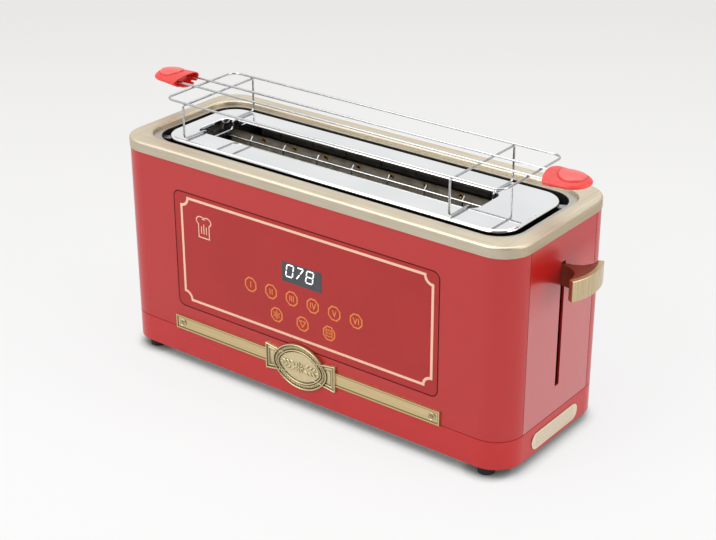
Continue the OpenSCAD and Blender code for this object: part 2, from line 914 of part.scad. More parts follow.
module top_trim() {
  color(champagne)
    difference() {
      translate([0, 0, z_trim])
        difference() {
          pillow(trim_l, trim_w, corner_r + trim_over, trim_h, trim_f);
          translate([0, 0, -cut])
            linear_extrude(trim_h - trim_t + cut)
              plan(trim_l - 2 * trim_t, trim_w - 2 * trim_t, corner_r + trim_over - trim_t);
        }
      translate([0, 0, z_trim])
        linear_extrude(trim_h + cut)
          plan(win_l, win_w, trim_in_r);
      translate([0, 0, z_top])
        slot_roll(win_l, win_w, trim_in_r, trim_in_f);
    }
}

// flat ring that forms the lower step inside the trim
module ledge_ring() {
  lap = 2 * ledge_lap;
  color(steel)
    translate([0, 0, z_ledge - ledge_t])
      linear_extrude(ledge_t)
        difference() {
          plan(win_l + lap, win_w + lap, trim_in_r + ledge_lap);
          plan(gap_l, gap_w, ledge_r);
        }
}

// wall that hangs from the ledge ring and closes the air gap to the sides
module gap_collar() {
  color(black)
    translate([0, 0, z_ledge - ledge_t - collar_h])
      linear_extrude(collar_h)
        plan_ring(collar_l, collar_w, ledge_r + collar_in + collar_t, collar_t);
}

module top_plate() {
  color(chrome)
    difference() {
      union() {
        translate([0, 0, z_plate - plate_h])
          difference() {
            pillow(plate_l, plate_w, plate_r, plate_h, plate_f);
            translate([0, 0, -plate_t])
              pillow(plate_l - 2 * plate_t, plate_w - 2 * plate_t, plate_r - plate_t, plate_h,
                plate_f - plate_t);
          }
        translate([slot_xc, 0, z_plate - lip_h])
          linear_extrude(lip_h - plate_t / 2)
            plan(slot_l + 2 * lip_t, slot_w + 2 * lip_t, slot_r + lip_t);
      }
      translate([slot_xc, 0, z_plate - lip_h - cut])
        linear_extrude(lip_h + 2 * cut)
          plan(slot_l, slot_w, slot_r);
      translate([slot_xc, 0, z_plate])
        slot_roll(slot_l, slot_w, slot_r, lip_f);
    }
}

// two tabs in the air gap, at the right rear and left front corner of the plate
module plate_tabs() {
  reach = 2 * (air_gap + collar_in);
  color(steel)
    translate([0, 0, z_plate - tab_drop - tab_t])
      linear_extrude(tab_t)
        intersection() {
          difference() {
            plan(gap_l + 2 * collar_in, gap_w + 2 * collar_in, ledge_r + collar_in);
            plan(plate_l, plate_w, plate_r);
          }
          for (s = [0, 180])
            rotate(s)
              translate([plate_l / 2 - plate_r, plate_w / 2 - plate_r])
                rotate(tab_turn)
                  translate([plate_r / 2, -tab_w / 2])
                    square([plate_r / 2 + reach, tab_w]);
        }
}

module glass_panel() {
  color(red_panel)
    on_front(glass_y, glass_zc)
      linear_extrude(glass_t)
        plan(glass_w - 2 * glass_gap, glass_h - 2 * glass_gap, glass_r - glass_gap);
}

module panel_frame() {
  lap = 2 * frame_lap;
  seat = 2 * frame_seat;
  color(black)
    difference() {
      on_front(glass_y + frame_t, glass_zc)
        linear_extrude(frame_t + glass_t - shell_t)
          plan(glass_w + lap, glass_h + lap, glass_r + frame_lap);
      on_front(glass_y, glass_zc)
        linear_extrude(glass_t)
          plan(glass_w, glass_h, glass_r);
      on_front(glass_y + frame_t + cut, glass_zc)
        linear_extrude(frame_t + 2 * cut)
          plan(glass_w - seat, glass_h - seat, glass_r);
    }
}

module touch_board() {
  color(green)
    difference() {
      on_front(glass_y + board_t, glass_zc)
        linear_extrude(board_t)
          plan(board_w, board_h, board_r);
      on_front(glass_y + board_t + cut, disp_zc)
        linear_extrude(board_t + 2 * cut)
          square([display_w + 2 * fit, display_h + 2 * fit], center = true);
    }
}

module display_module() {
  color(black)
    on_front(glass_y + display_d, disp_zc)
      linear_extrude(display_d)
        square([display_w, display_h], center = true);
}

// holes for the rosette pins through a depth d behind the front face
module pin_holes(d) {
  for (x = [-1, 1])
    translate([x * pin_x, d - y_end, strip_zc])
      rotate([90, 0, 0])
        cylinder(h = d + strip_t + strip_rim_h + cut, r = pin_r + fit / 2);
}

module brass_strip() {
  r = 2 * strip_rim_w;
  color(brass)
    difference() {
      on_front(-y_end, strip_zc) {
        linear_extrude(strip_t)
          square([strip_l, strip_h], center = true);
        linear_extrude(strip_t + strip_rim_h)
          difference() {
            square([strip_l, strip_h], center = true);
            square([strip_l - r, strip_h - r], center = true);
            square([wing_w + fit, 2 * strip_h], center = true);
          }
      }
      pin_holes(cut);
    }
}

module cartouche() {
  color(brass)
    difference() {
      on_front(-y_end, strip_zc) {
        linear_extrude(oval_t) {
          oval(0);
          wings(0);
        }
        linear_extrude(oval_t + oval_rim_h) {
          difference() {
            wings(0);
            wings(oval_rim_w);
            oval(-oval_rim_w);
          }
          difference() {
            oval(0);
            oval(oval_rim_w);
          }
          difference() {
            oval(oval_band);
            oval(oval_band + oval_rim_w);
          }
        }
      }
      on_front(cut - y_end, strip_zc)
        linear_extrude(strip_t + cut)
          square([strip_l, strip_h + 2 * fit], center = true);
    }
}

module rosette_pins() {
  petals = 8;
  disc_h = pin_head_h * 0.6;
  boss_r = pin_head_r * 0.45;
  notch_r = pin_head_r * 0.18;
  color(brass)
    for (x = [-1, 1])
      translate([x * pin_x, 0, 0])
        on_front(-y_end - strip_t, strip_zc) {
          difference() {
            union() {
              cylinder(h = disc_h, r = pin_head_r);
              cylinder(h = pin_head_h, r = boss_r);
            }
            for (i = [0 : petals - 1])
              rotate([0, 0, i * 360 / petals])
                translate([pin_head_r, 0, -cut])
                  cylinder(h = pin_head_h + 2 * cut, r = notch_r);
          }
          translate([0, 0, -strip_t - shell_t - pin_l])
            cylinder(h = strip_t + shell_t + pin_l + join, r = pin_r);
        }
}

// end plate of the heating chamber with its outer face at x
module chamber_plate(x) {
  translate([x, -chas_w / 2, z_deck])
    cube([chas_t, chas_w, z_under - z_deck]);
}

// space round the turned-down rim of the top plate
module rim_space() {
  translate([0, 0, z_plate - plate_h - fit])
    linear_extrude(plate_h)
      plan_ring(plate_l + 2 * fit, plate_w + 2 * fit, plate_r + fit, plate_f + 2 * fit);
}

module left_chassis() {
  vents = 5;
  louvre_h = 6;
  louvre_pitch = mica_h / (vents + 1);
  color(steel)
    difference() {
      chamber_plate(cham_x0 - chas_t);
      for (i = [1 : vents])
        translate([cham_x0 - chas_t - cut, -chas_w / 4, z_mica + i * louvre_pitch - louvre_h / 2])
          cube([chas_t + 2 * cut, chas_w / 2, louvre_h]);
      rim_space();
    }
}

module right_chassis() {
  leg = chas_w / 2 - leg_w;
  hole = lift_t / 2 + lift_room;
  color(steel) {
    difference() {
      chamber_plate(cham_x1);
      translate([cham_x1 - cut, -leg, z_deck - cut])
        cube([chas_t + 2 * cut, 2 * leg, leg_open_h + cut]);
      translate([cham_x1 - cut, -hole, lift_z - travel - 2 * lift_room])
        cube([chas_t + 2 * cut, 2 * hole, travel + lift_h + 4 * lift_room]);
      rim_space();
    }
    for (z = [z_flange, z_upper])
      translate([cham_x1, -flange_half, z])
        cube([flange_l + chas_t, 2 * flange_half, chas_t]);
    translate([cham_x1, flange_y, power_z0])
      cube([power_l + power_gap + chas_t, chas_t, power_h]);
  }
}

// reflector sheet with a lip at its foot that leads crumbs to the tray
module reflector(s) {
  z0 = z_seam + refl_z;
  color(chrome)
    mirror([0, s > 0 ? 1 : 0, 0])
      translate([cham_x0, -refl_y - refl_t, z0]) {
        cube([cham_l, refl_t, z_plate - lip_h - fit - z0]);
        cube([cham_l, refl_lip + refl_t, refl_t]);
      }
}

module front_reflector() {
  reflector(-1);
}

module rear_reflector() {
  reflector(1);
}

// heater board with a tab at each corner that reaches the chassis plates
module mica(s) {
  eyelets = floor((mica_x1 - mica_x0 - 2 * abs(eyelet_off)) / eyelet_pitch) + 1;
  color(mica_brown)
    mirror([0, s > 0 ? 1 : 0, 0])
      translate([0, -mica_y, 0])
        rotate([90, 0, 0])
          linear_extrude(mica_t)
            difference() {
              union() {
                translate([mica_x0, z_mica])
                  square([mica_x1 - mica_x0, mica_h]);
                for (z = [z_mica, z_mica + mica_h - mica_tab])
                  translate([cham_x0, z])
                    square([cham_l, mica_tab]);
              }
              for (i = [0 : eyelets - 1], z = [z_mica + eyelet_drop, z_mica + mica_h - eyelet_drop])
                translate([slot_xc + eyelet_off + (i - (eyelets - 1) / 2) * eyelet_pitch, z])
                  circle(eyelet_r);
            }
}

module front_mica() {
  mica(-1);
}

module rear_mica() {
  mica(1);
}

// ribbon wound round a heater board, level in front and stepping down behind
module heater(s) {
  pitch = (mica_h - 2 * mica_tab - ribbon_w) / ribbon_n;
  z0 = z_mica + mica_tab + ribbon_w / 2;
  run_l = mica_x1 - mica_x0 + 2 * ribbon_t;
  lean = atan(pitch / run_l);
  color(steel)
    mirror([0, s > 0 ? 1 : 0, 0])
      for (i = [0 : ribbon_n - 1])
        translate([mica_x0 - ribbon_t, -mica_y, z0 + i * pitch]) {
          cube([run_l, ribbon_t, ribbon_w]);
          translate([run_l - ribbon_t, -mica_t - ribbon_t, 0])
            cube([ribbon_t, mica_t + 2 * ribbon_t, ribbon_w]);
          if (i < ribbon_n - 1) {
            translate([0, -mica_t - ribbon_t, pitch])
              rotate([0, lean, 0])
                cube([run_l / cos(lean), ribbon_t, ribbon_w * cos(lean)]);
            translate([0, -mica_t - ribbon_t, pitch])
              cube([ribbon_t, mica_t + 2 * ribbon_t, ribbon_w]);
          }
        }
}

module front_heater() {
  heater(-1);
}

module rear_heater() {
  heater(1);
}

// bread guard of level wires and uprights whose tips lean away from the bread
module guard(s) {
  z1 = z_plate - guard_top;
  z0 = z_seam + guard_low;
  rise = guard_top - guard_tip;
  upright_r = guard_r * 0.8;
  count = floor((cham_l - guard_pitch) / guard_pitch);
  first = slot_xc + guard_off - (count - 1) * guard_pitch / 2;
  color(chrome)
    mirror([0, s > 0 ? 1 : 0, 0]) {
      for (z = [z0, (z0 + z1) / 2, z1])
        rod_x(cham_x0, cham_x1, -guard_y, z, guard_r);
      for (i = [0 : count - 1])
        translate([first + i * guard_pitch, -guard_y, 0]) {
          translate([0, 0, z0])
            cylinder(h = z1 - z0 + join, r = upright_r);
          translate([0, 0, z1])
            rotate([atan2(guard_lean, rise), 0, 0])
              cylinder(h = norm([guard_lean, rise]), r = upright_r);
        }
    }
}

module front_guard() {
  guard(-1);
}

module rear_guard() {
  guard(1);
}

module guide_rods() {
  color(chrome)
    for (s = [-1, 1])
      translate([rod_px, s * rod_pitch / 2, z_flange_top])
        cylinder(h = z_upper - z_flange_top, r = rod_r);
}

module electromagnet() {
  cheek = 1.4;
  core_r = mag_r * 0.45;
  coil_r = mag_r * 0.86;
  core_out = 3;
  yoke = 3;
  color("#7a4a2a")
    translate([mag_px, 0, z_flange_top]) {
      translate([-mag_r, -mag_r, 0])
        cube([2 * mag_r, 2 * mag_r, yoke]);
      translate([0, 0, yoke - join])
        cylinder(h = cheek + join, r = mag_r);
      cylinder(h = mag_h - core_out, r = coil_r);
      translate([0, 0, mag_h - core_out - cheek])
        cylinder(h = cheek, r = mag_r);
      cylinder(h = mag_h, r = core_r);
    }
}

module power_board() {
  in = 4;
  stand_r = 2.5;
  color(green) {
    translate([power_x, power_y - board_t, power_z0])
      cube([power_l, board_t, power_h]);
    for (x = [in, power_l - in], z = [in, power_h - in])
      translate([power_x + x, flange_y, power_z0 + z])
        rotate([90, 0, 0])
          cylinder(h = stand_h + join, r = stand_r);
  }
}

module relay() {
  color(black)
    translate([power_x + (power_l - relay_w) / 2, power_y - board_t - relay_d,
      power_z0 + power_h - relay_h - part_in])
      cube([relay_w, relay_d, relay_h]);
}

module transformer() {
  coil_out = 1.5;
  coil_in = 3;
  color("#c9b037")
    translate([power_x + 2 * coil_out, power_y - board_t - trafo_d, power_z0 + part_in]) {
      cube([trafo_w, trafo_d, trafo_h]);
      translate([-coil_out, coil_in, trafo_h / 4])
        cube([trafo_w + 2 * coil_out, trafo_d - coil_in, trafo_h / 2]);
    }
}

module panel_cable() {
  plug = 6;
  grow = 1;
  y0 = glass_y + board_t;
  y1 = power_y - board_t;
  x0 = board_w / 2 - 2 * plug;
  x1 = power_x + power_l / 2;
  yc = y0 + plug / 2;
  color("#6d6d70") {
    translate([x0, y0, cable_z - grow])
      cube([plug, plug, cable_w + 2 * grow]);
    translate([x0 + plug - join, yc, cable_z])
      cube([x1 - x0 - plug + join + cable_t, cable_t, cable_w]);
    translate([x1, yc, cable_z])
      cube([cable_t, y1 - yc - plug / 4, cable_w]);
    translate([x1 - plug / 2, y1 - plug / 2, cable_z - grow])
      cube([plug, plug / 2, cable_w + 2 * grow]);
  }
}

module cord_gland() {
  flange = 2.2;
  flange_w = 2;
  chamfer = 0.8;
  inner = 4;
  color(black)
    translate([gland_x - x_end, y_end + flange, z_floor + base_h / 2])
      rotate([90, 0, 0])
        difference() {
          union() {
            cylinder(h = flange, r1 = gland_r + flange_w - chamfer, r2 = gland_r + flange_w);
            cylinder(h = flange + base_t + inner, r = gland_r);
          }
          translate([0, 0, -cut])
            cylinder(h = flange + base_t + inner + 2 * cut, r = gland_bore);
        }
}

module carriage() {
  web = 2 * bush_r - bush_t;
  shelf_half = rod_pitch / 2 - bush_r / 2;
  color(steel)
    difference() {
      union() {
        translate([car_x0, -car_half, lift_z - car_t])
          cube([car_t, 2 * car_half, car_z1 - lift_z + car_t]);
        translate([car_x0, -shelf_half, car_z])
          cube([mag_x + car_t + arm_l / 2, 2 * shelf_half, car_t]);
        for (s = [-1, 1]) {
          translate([rod_px, s * rod_pitch / 2, car_z])
            cylinder(h = car_z1 - car_z, r = bush_r);
          translate([car_x0, s * rod_pitch / 2 - web / 2, car_z])
            cube([rod_px - car_x0, web, car_z1 - car_z]);
        }
        translate([car_x0, -tongue_t / 2, tongue_z])
          cube([tongue_x1 - car_x0, tongue_t, tongue_h]);
      }
      for (s = [-1, 1])
        translate([rod_px, s * rod_pitch / 2, car_z - cut])
          cylinder(h = car_z1 - car_z + 2 * cut, r = rod_r + run);
    }
}

module bread_lift() {
  x0 = slot_x0 + lift_in;
  count = floor((cham_l - guard_pitch) / guard_pitch);
  first = slot_xc - count * guard_pitch / 2;
  color(chrome) {
    translate([x0, -lift_t / 2, lift_z])
      cube([car_x0 - x0, lift_t, lift_h]);
    for (i = [0 : count])
      if (first + i * guard_pitch > x0 + finger_r)
        translate([first + i * guard_pitch, lift_finger, lift_z + lift_h - finger_r])
          rotate([90, 0, 0])
            cylinder(h = 2 * lift_finger, r = finger_r);
  }
}

module armature() {
  color("#77797c")
    translate([mag_px - arm_l / 2, -arm_w / 2, arm_z])
      cube([arm_l, arm_w, arm_t]);
}

// plan of the knob: neck in the slot, flaring to the bowed face
module knob_plan(back) {
  difference() {
    intersection() {
      translate([neck_x0, -knob_w / 2])
        square([knob_x + knob_bow - neck_x0, knob_w]);
      translate([bow_x, 0])
        circle(bow_r - back);
    }
    for (s = [-1, 1]) {
      translate([flare_x, s * (neck_w / 2 + flare_r)])
        circle(flare_r);
      translate([neck_x0 - cut, s > 0 ? neck_w / 2 : -neck_w / 2 - knob_w])
        square([flare_x - neck_x0 + cut, knob_w]);
    }
  }
}

module lever_knob() {
  color("#5a1f1c")
    difference() {
      translate([0, 0, knob_z])
        linear_extrude(knob_h)
          knob_plan(band_t);
      translate([neck_x0 - cut, -tongue_t / 2 - fit / 2, tongue_z - fit / 2])
        cube([tongue_x1 - neck_x0 + cut + fit, tongue_t + fit, tongue_h + fit]);
    }
}

module lever_band() {
  color(brass)
    translate([0, 0, knob_z])
      linear_extrude(knob_h)
        intersection() {
          difference() {
            translate([bow_x, 0])
              circle(bow_r);
            translate([bow_x, 0])
              circle(bow_r - band_t);
          }
          translate([knob_x - band_t, -knob_w / 2])
            square([knob_bow + band_t + cut, knob_w]);
        }
}

spring_z0 = car_z + car_t;
spring_len = z_upper - spring_z0;
spring_tail = 2 * spring_wire;
spring_rings = 8;
spring_sides = 6;
// centre line of the spring: straight tails at both ends and a helix between
spring_mid = spring_n * spring_rings;
spring_rise = spring_len - 2 * spring_tail;
function spring_point(i) = [spring_r * cos(i * 360 / spring_rings),
  spring_r * sin(i * 360 / spring_rings), spring_tail + spring_rise * i / spring_mid];
spring_pts = concat([[spring_r, 0, 0]], [for (i = [0 : spring_mid]) spring_point(i)],
  [[spring_r, 0, spring_len]]);
// every ring lies in the plane of the spring axis so that turns stay apart
function spring_out(i) = i == 0 || i > spring_mid ? [1, 0] :
  [cos((i - 1) * 360 / spring_rings), sin((i - 1) * 360 / spring_rings)];
function spring_level(i) = i == 0 || i == spring_mid + 2;
function spring_ring(i) = [for (k = [0 : spring_sides - 1])
  let (a = k * 360 / spring_sides, o = spring_out(i), c = spring_wire * cos(a), d = spring_wire * sin(a))
  spring_level(i) ? spring_pts[i] + [c, -d, 0] : spring_pts[i] + [c * o[0], c * o[1], d]];
spring_gap = min([for (i = [1 : spring_mid + 1], j = [i + spring_rings - 2 : i + spring_rings + 2])
  if (j <= spring_mid + 1) norm(spring_pts[i] - spring_pts[j])]) - 2 * spring_wire;
echo("least gap between spring turns", spring_gap);

module lift_spring() {
  n = len(spring_pts);
  s = spring_sides;
  color(steel)
    translate([spring_x, spring_y, spring_z0])
      polyhedron(
        points = [for (i = [0 : n - 1]) each spring_ring(i)],
        faces = concat(
          [for (k = [1 : s - 2]) [0, k + 1, k]],
          [for (i = [0 : n - 2], k = [0 : s - 1]) [i * s + k, i * s + (k + 1) % s, (i + 1) * s + k]],
          [for (i = [0 : n - 2], k = [0 : s - 1])
            [i * s + (k + 1) % s, (i + 1) * s + (k + 1) % s, (i + 1) * s + k]],
          [for (k = [1 : s - 2]) [(n - 1) * s, (n - 1) * s + k, (n - 1) * s + k + 1]]));
}

module crumb_tray() {
  color(steel)
    difference() {
      translate([tray_x0, -tray_w / 2, tray_z])
        cube([tray_x1 - tray_x0, tray_w, tray_h]);
      translate([tray_x0 + tray_t, tray_t - tray_w / 2, tray_z + tray_t])
        cube([tray_x1 - tray_x0 - 2 * tray_t, tray_w - 2 * tray_t, tray_h]);
    }
}

module tray_front() {
  ribs = 27;
  rib_pitch = (tray_front_w - tray_front_h) / (ribs - 1);
  groove = rib_pitch / 4;
  groove_end = 1.5;
  color(champagne)
    translate([tray_x1, 0, z_floor + tray_front_z + tray_front_h / 2])
      rotate([90, 0, 90])
        difference() {
          linear_extrude(tray_front_t)
            stadium(tray_front_w, tray_front_h);
          for (i = [0 : ribs - 1])
            translate([(i - (ribs - 1) / 2) * rib_pitch, 0, tray_front_t])
              rotate([90, 0, 0])
                translate([0, 0, groove_end - tray_front_h / 2])
                  cylinder(h = tray_front_h - 2 * groove_end, r = groove, $fn = 6);
        }
}

module rack_loop() {
  a = rack_l / 2;
  b = rack_w / 2;
  color(chrome)
    translate([0, 0, rack_z])
      closed_wire([[-a, -b], [a, -b], [a, b], [-a, b]], [rack_r, rack_r, rack_r, rack_r], wire_r);
}

module rack_bars() {
  x = grip_x + bar_in;
  color(chrome)
    for (s = [-1, 1])
      rod_x(-x, x, s * bar_pitch / 2, bar_z, wire_r);
}

// leg wire at x: cross bar, legs, feet on the plate and a dip into the slot
module rack_leg(x) {
  a = rack_w / 2 + leg_out;
  d = dip_w / 2;
  path = [[-a, cross_z], [-a, leg_z], [-d, leg_z], [-d, dip_z], [d, dip_z], [d, leg_z], [a, leg_z],
    [a, cross_z]];
  color(chrome)
    translate([x, 0, 0])
      rotate([90, 0, 90])
        closed_wire(path, [for (p = path) p[1] == cross_z ? leg_top_r : leg_r], wire_r);
}

module rack_leg_left() {
  rack_leg(leg_xl);
}

module rack_leg_right() {
  rack_leg(leg_xr);
}

// section between two arcs: thickness h in the middle, less fall at half width a
module lens(a, h, fall) {
  r = (a * a + fall * fall) / (2 * fall);
  intersection() {
    translate([0, h / 2 - r])
      circle(r);
    translate([0, r - h / 2])
      circle(r);
  }
}

// plan of a grip from its mouth at the origin to its round tip at +X
module grip_plan() {
  r = grip_w / 2;
  cx = grip_l - r;
  m = grip_mouth_w / 2;
  d = norm([cx, m]);
  a = atan2(m, -cx) - acos(r / d);
  translate([cx, 0])
    circle(r);
  polygon([[0, -m], [cx + r * cos(a), -r * sin(a)], [cx + r * cos(a), r * sin(a)], [0, m]]);
}

// grip solid, grown by pad height g over the thumb pad
module grip_body(g) {
  intersection() {
    translate([grip_l / 2, 0, 0])
      rotate([90, 0, 0])
        linear_extrude(2 * grip_w, center = true)
          lens(grip_l / 2, grip_h + 2 * g, grip_fall_x);
    translate([-cut, 0, 0])
      rotate([90, 0, 90])
        linear_extrude(grip_l + 2 * cut)
          lens(grip_w / 2, grip_h + 2 * g, grip_fall_y);
  }
}

module grip() {
  color(coral)
    difference() {
      union() {
        intersection() {
          grip_body(0);
          linear_extrude(2 * grip_h, center = true)
            grip_plan();
        }
        intersection() {
          grip_body(pad_h);
          translate([grip_l - grip_w / 2, 0, 0])
            cylinder(h = grip_h, r = pad_r);
        }
      }
      translate([-cut, 0, mouth_h / 2])
        rotate([90, 0, 90])
          linear_extrude(mouth_d + cut)
            plan(grip_mouth_w - 2 * mouth_wall, mouth_h, mouth_h / 3);
      for (s = [-1, 1])
        rod_x(-cut, bar_in + fit, s * bar_pitch / 2, 0, wire_r + fit / 2);
    }
}

module right_grip() {
  translate([grip_x, 0, bar_z])
    grip();
}

module left_grip() {
  translate([-grip_x, 0, bar_z])
    mirror([1, 0, 0])
      grip();
}

translate([-mid_x, 0, 0]) {
  base_band();
  base_plate();
  rubber_feet();
  foot_screws();
  corner_posts();
  front_shell();
  rear_shell();
  lever_end_panel();
  plain_end_panel();
  top_trim();
  ledge_ring();
  gap_collar();
  top_plate();
  plate_tabs();
  glass_panel();
  panel_frame();
  touch_board();
  display_module();
  brass_strip();
  cartouche();
  rosette_pins();
  left_chassis();
  right_chassis();
  front_reflector();
  rear_reflector();
  front_mica();
  rear_mica();
  front_heater();
  rear_heater();
  front_guard();
  rear_guard();
  guide_rods();
  electromagnet();
  power_board();
  relay();
  transformer();
  panel_cable();
  cord_gland();
  carriage();
  bread_lift();
  armature();
  lever_knob();
  lever_band();
  lift_spring();
  crumb_tray();
  tray_front();
  rack_loop();
  rack_bars();
  rack_leg_left();
  rack_leg_right();
  left_grip();
  right_grip();
}
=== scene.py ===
"""Looks of a long-slot toaster with a touch panel, a push-down lever, a crumb tray and a bun rack.

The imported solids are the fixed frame.
"""

import math

import bmesh
import bpy
import numpy as np
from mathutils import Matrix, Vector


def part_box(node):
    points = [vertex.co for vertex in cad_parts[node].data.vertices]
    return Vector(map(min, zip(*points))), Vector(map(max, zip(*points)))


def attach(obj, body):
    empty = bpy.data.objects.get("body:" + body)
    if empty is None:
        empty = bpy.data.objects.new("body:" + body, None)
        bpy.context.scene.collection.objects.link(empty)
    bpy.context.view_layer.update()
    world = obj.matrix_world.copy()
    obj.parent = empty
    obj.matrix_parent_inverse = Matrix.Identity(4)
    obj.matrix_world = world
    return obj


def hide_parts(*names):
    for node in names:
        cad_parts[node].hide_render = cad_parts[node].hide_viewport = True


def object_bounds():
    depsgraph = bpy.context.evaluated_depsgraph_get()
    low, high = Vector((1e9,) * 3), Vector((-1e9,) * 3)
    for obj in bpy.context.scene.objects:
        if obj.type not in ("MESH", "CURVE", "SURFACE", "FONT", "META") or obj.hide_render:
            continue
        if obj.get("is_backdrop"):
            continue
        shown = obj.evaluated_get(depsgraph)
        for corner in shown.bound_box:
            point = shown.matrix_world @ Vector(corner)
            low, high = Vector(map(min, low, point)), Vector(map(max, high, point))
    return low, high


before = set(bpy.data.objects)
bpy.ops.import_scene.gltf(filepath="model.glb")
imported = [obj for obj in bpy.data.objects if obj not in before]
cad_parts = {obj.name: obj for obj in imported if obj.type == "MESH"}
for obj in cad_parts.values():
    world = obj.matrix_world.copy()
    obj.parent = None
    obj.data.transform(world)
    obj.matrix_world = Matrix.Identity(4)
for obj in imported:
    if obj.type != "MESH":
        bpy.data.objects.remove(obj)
cad_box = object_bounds()
scene = bpy.context.scene
scene.view_settings.view_transform = "Standard"

# Camera: a short telephoto that looks down on the touch panel and the lever end.
# Its place and turn come from the body's edges in the photograph.
SENSOR_MM, LENS_MM = 36.0, 80.09
EYE_M = (0.70271, -0.91771, 0.64480)
TURN_DEG = (64.585, 0.0855, 37.406)

camera = bpy.data.objects.new("camera", bpy.data.cameras.new("camera"))
camera.data.sensor_width = SENSOR_MM
camera.data.sensor_fit = "HORIZONTAL"
camera.data.lens = LENS_MM
camera.location = EYE_M
camera.rotation_euler = [math.radians(a) for a in TURN_DEG]
scene.collection.objects.link(camera)
scene.camera = camera

# Studio: a pale seamless floor under a wide overhead softbox, a high one before the touch panel that
# reaches into the slot, and a third at the lever end. Metal and enamel mirror a dim room on the near side.
SKY_SEEN, ROOM_SEEN, SKY_LIGHT = "f8f8f8", "5c5c5c", 0.36
# cosines of the angle from the room's middle at which it starts and is full
ROOM_EDGE = (0.1, 0.8)
# name, place and aim in metres, width and height in metres, watts
SOFTBOXES = (
    ("overhead", (-0.15, 0.1, 1.6), (0.0, 0.0, 0.1), (2.2, 1.6), 18.0),
    ("panel_side", (-0.45, -1.5, 1.35), (0.0, 0.0, 0.12), (1.6, 1.0), 22.0),
    ("lever_side", (1.7, 0.35, 0.75), (0.0, 0.0, 0.1), (1.3, 1.3), 15.0),
)
FLOOR_HALF_M = 5.0
FLOOR_NEAR, FLOOR_FAR = "f6f6f6", "ebeae8"
FLOOR_FADE_M = (-0.1, 1.05)
FLOOR_GLOW = 0.84
# the shade close under the base: its reach, the openness at which it is full and gone, and its colour
CONTACT_M, CONTACT_AO, CONTACT_TINT = 0.0125, (0.4, 0.9), "444a44"
AO_SAMPLES = 8
WHITE = (1.0, 1.0, 1.0, 1.0)
# a colour Mix node's two input sockets and its output socket
A, B, MIXED = 6, 7, 2


def linear(code):
    """sRGB hex to linear RGBA: the lower part divided by 12.92, the rest by the 2.4 power curve."""
    s = np.array([int(code[i : i + 2], 16) for i in (0, 2, 4)]) / 255.0
    low, high = s / 12.92, ((s + 0.055) / 1.055) ** 2.4
    return (*np.where(s <= 0.04045, low, high).tolist(), 1.0)


def add(tree, kind, inputs=None, links=None, **settings):
    """Adds one node: settings go to its properties, inputs to its sockets, links feed sockets."""
    node = tree.nodes.new(kind)
    for key, value in settings.items():
        setattr(node, key, value)
    for key, value in (inputs or {}).items():
        node.inputs[key].default_value = value
    for key, (source, output) in (links or {}).items():
        tree.links.new(source.outputs[output], node.inputs[key])
    return node


def shown_by_ray(tree):
    """1 for a ray that shows the surface: from the camera, off a gloss or through glass. 0 for others."""
    path = add(tree, "ShaderNodeLightPath")
    direct = add(tree, "ShaderNodeMath", operation="MAXIMUM",
                 links={0: (path, "Is Camera Ray"), 1: (path, "Is Glossy Ray")})
    return add(tree, "ShaderNodeMath", operation="MAXIMUM",
               links={0: (direct, 0), 1: (path, "Is Transmission Ray")})


world = bpy.data.worlds.new("studio")
scene.world = world
world.use_nodes = True
sky = world.node_tree
sky.nodes.clear()
where = add(sky, "ShaderNodeTexCoord")
heading = math.radians(TURN_DEG[2])
near_side = add(sky, "ShaderNodeVectorMath", {1: (math.sin(heading), -math.cos(heading), 0.0)},
                {0: (where, "Generated")}, operation="DOT_PRODUCT")
room = add(sky, "ShaderNodeMapRange", {"From Min": ROOM_EDGE[0], "From Max": ROOM_EDGE[1]},
           {"Value": (near_side, "Value")}, interpolation_type="SMOOTHSTEP")
walls = add(sky, "ShaderNodeMix", {A: linear(SKY_SEEN), B: linear(ROOM_SEEN)}, {0: (room, 0)},
            data_type="RGBA")
path = add(sky, "ShaderNodeLightPath")
backdrop = add(sky, "ShaderNodeMix", {B: linear(SKY_SEEN)}, {0: (path, "Is Camera Ray"), A: (walls, MIXED)},
               data_type="RGBA")
pale = add(sky, "ShaderNodeBackground", {"Strength": 1.0}, {"Color": (backdrop, MIXED)})
light = add(sky, "ShaderNodeBackground", {"Color": WHITE, "Strength": SKY_LIGHT})
both = add(sky, "ShaderNodeMixShader", links={0: (shown_by_ray(sky), 0), 1: (light, 0), 2: (pale, 0)})
add(sky, "ShaderNodeOutputWorld", links={"Surface": (both, 0)})

for name, place, aim, size, watts in SOFTBOXES:
    box = bpy.data.lights.new(name, "AREA")
    box.shape = "RECTANGLE"
    box.size, box.size_y = size
    box.energy = watts
    lamp = bpy.data.objects.new(name, box)
    lamp.location = place
    ray = np.array(place) - np.array(aim)
    lamp.rotation_euler = (math.acos(ray[2] / np.linalg.norm(ray)), 0.0,
                           math.atan2(ray[1], ray[0]) + math.pi / 2)
    scene.collection.objects.link(lamp)

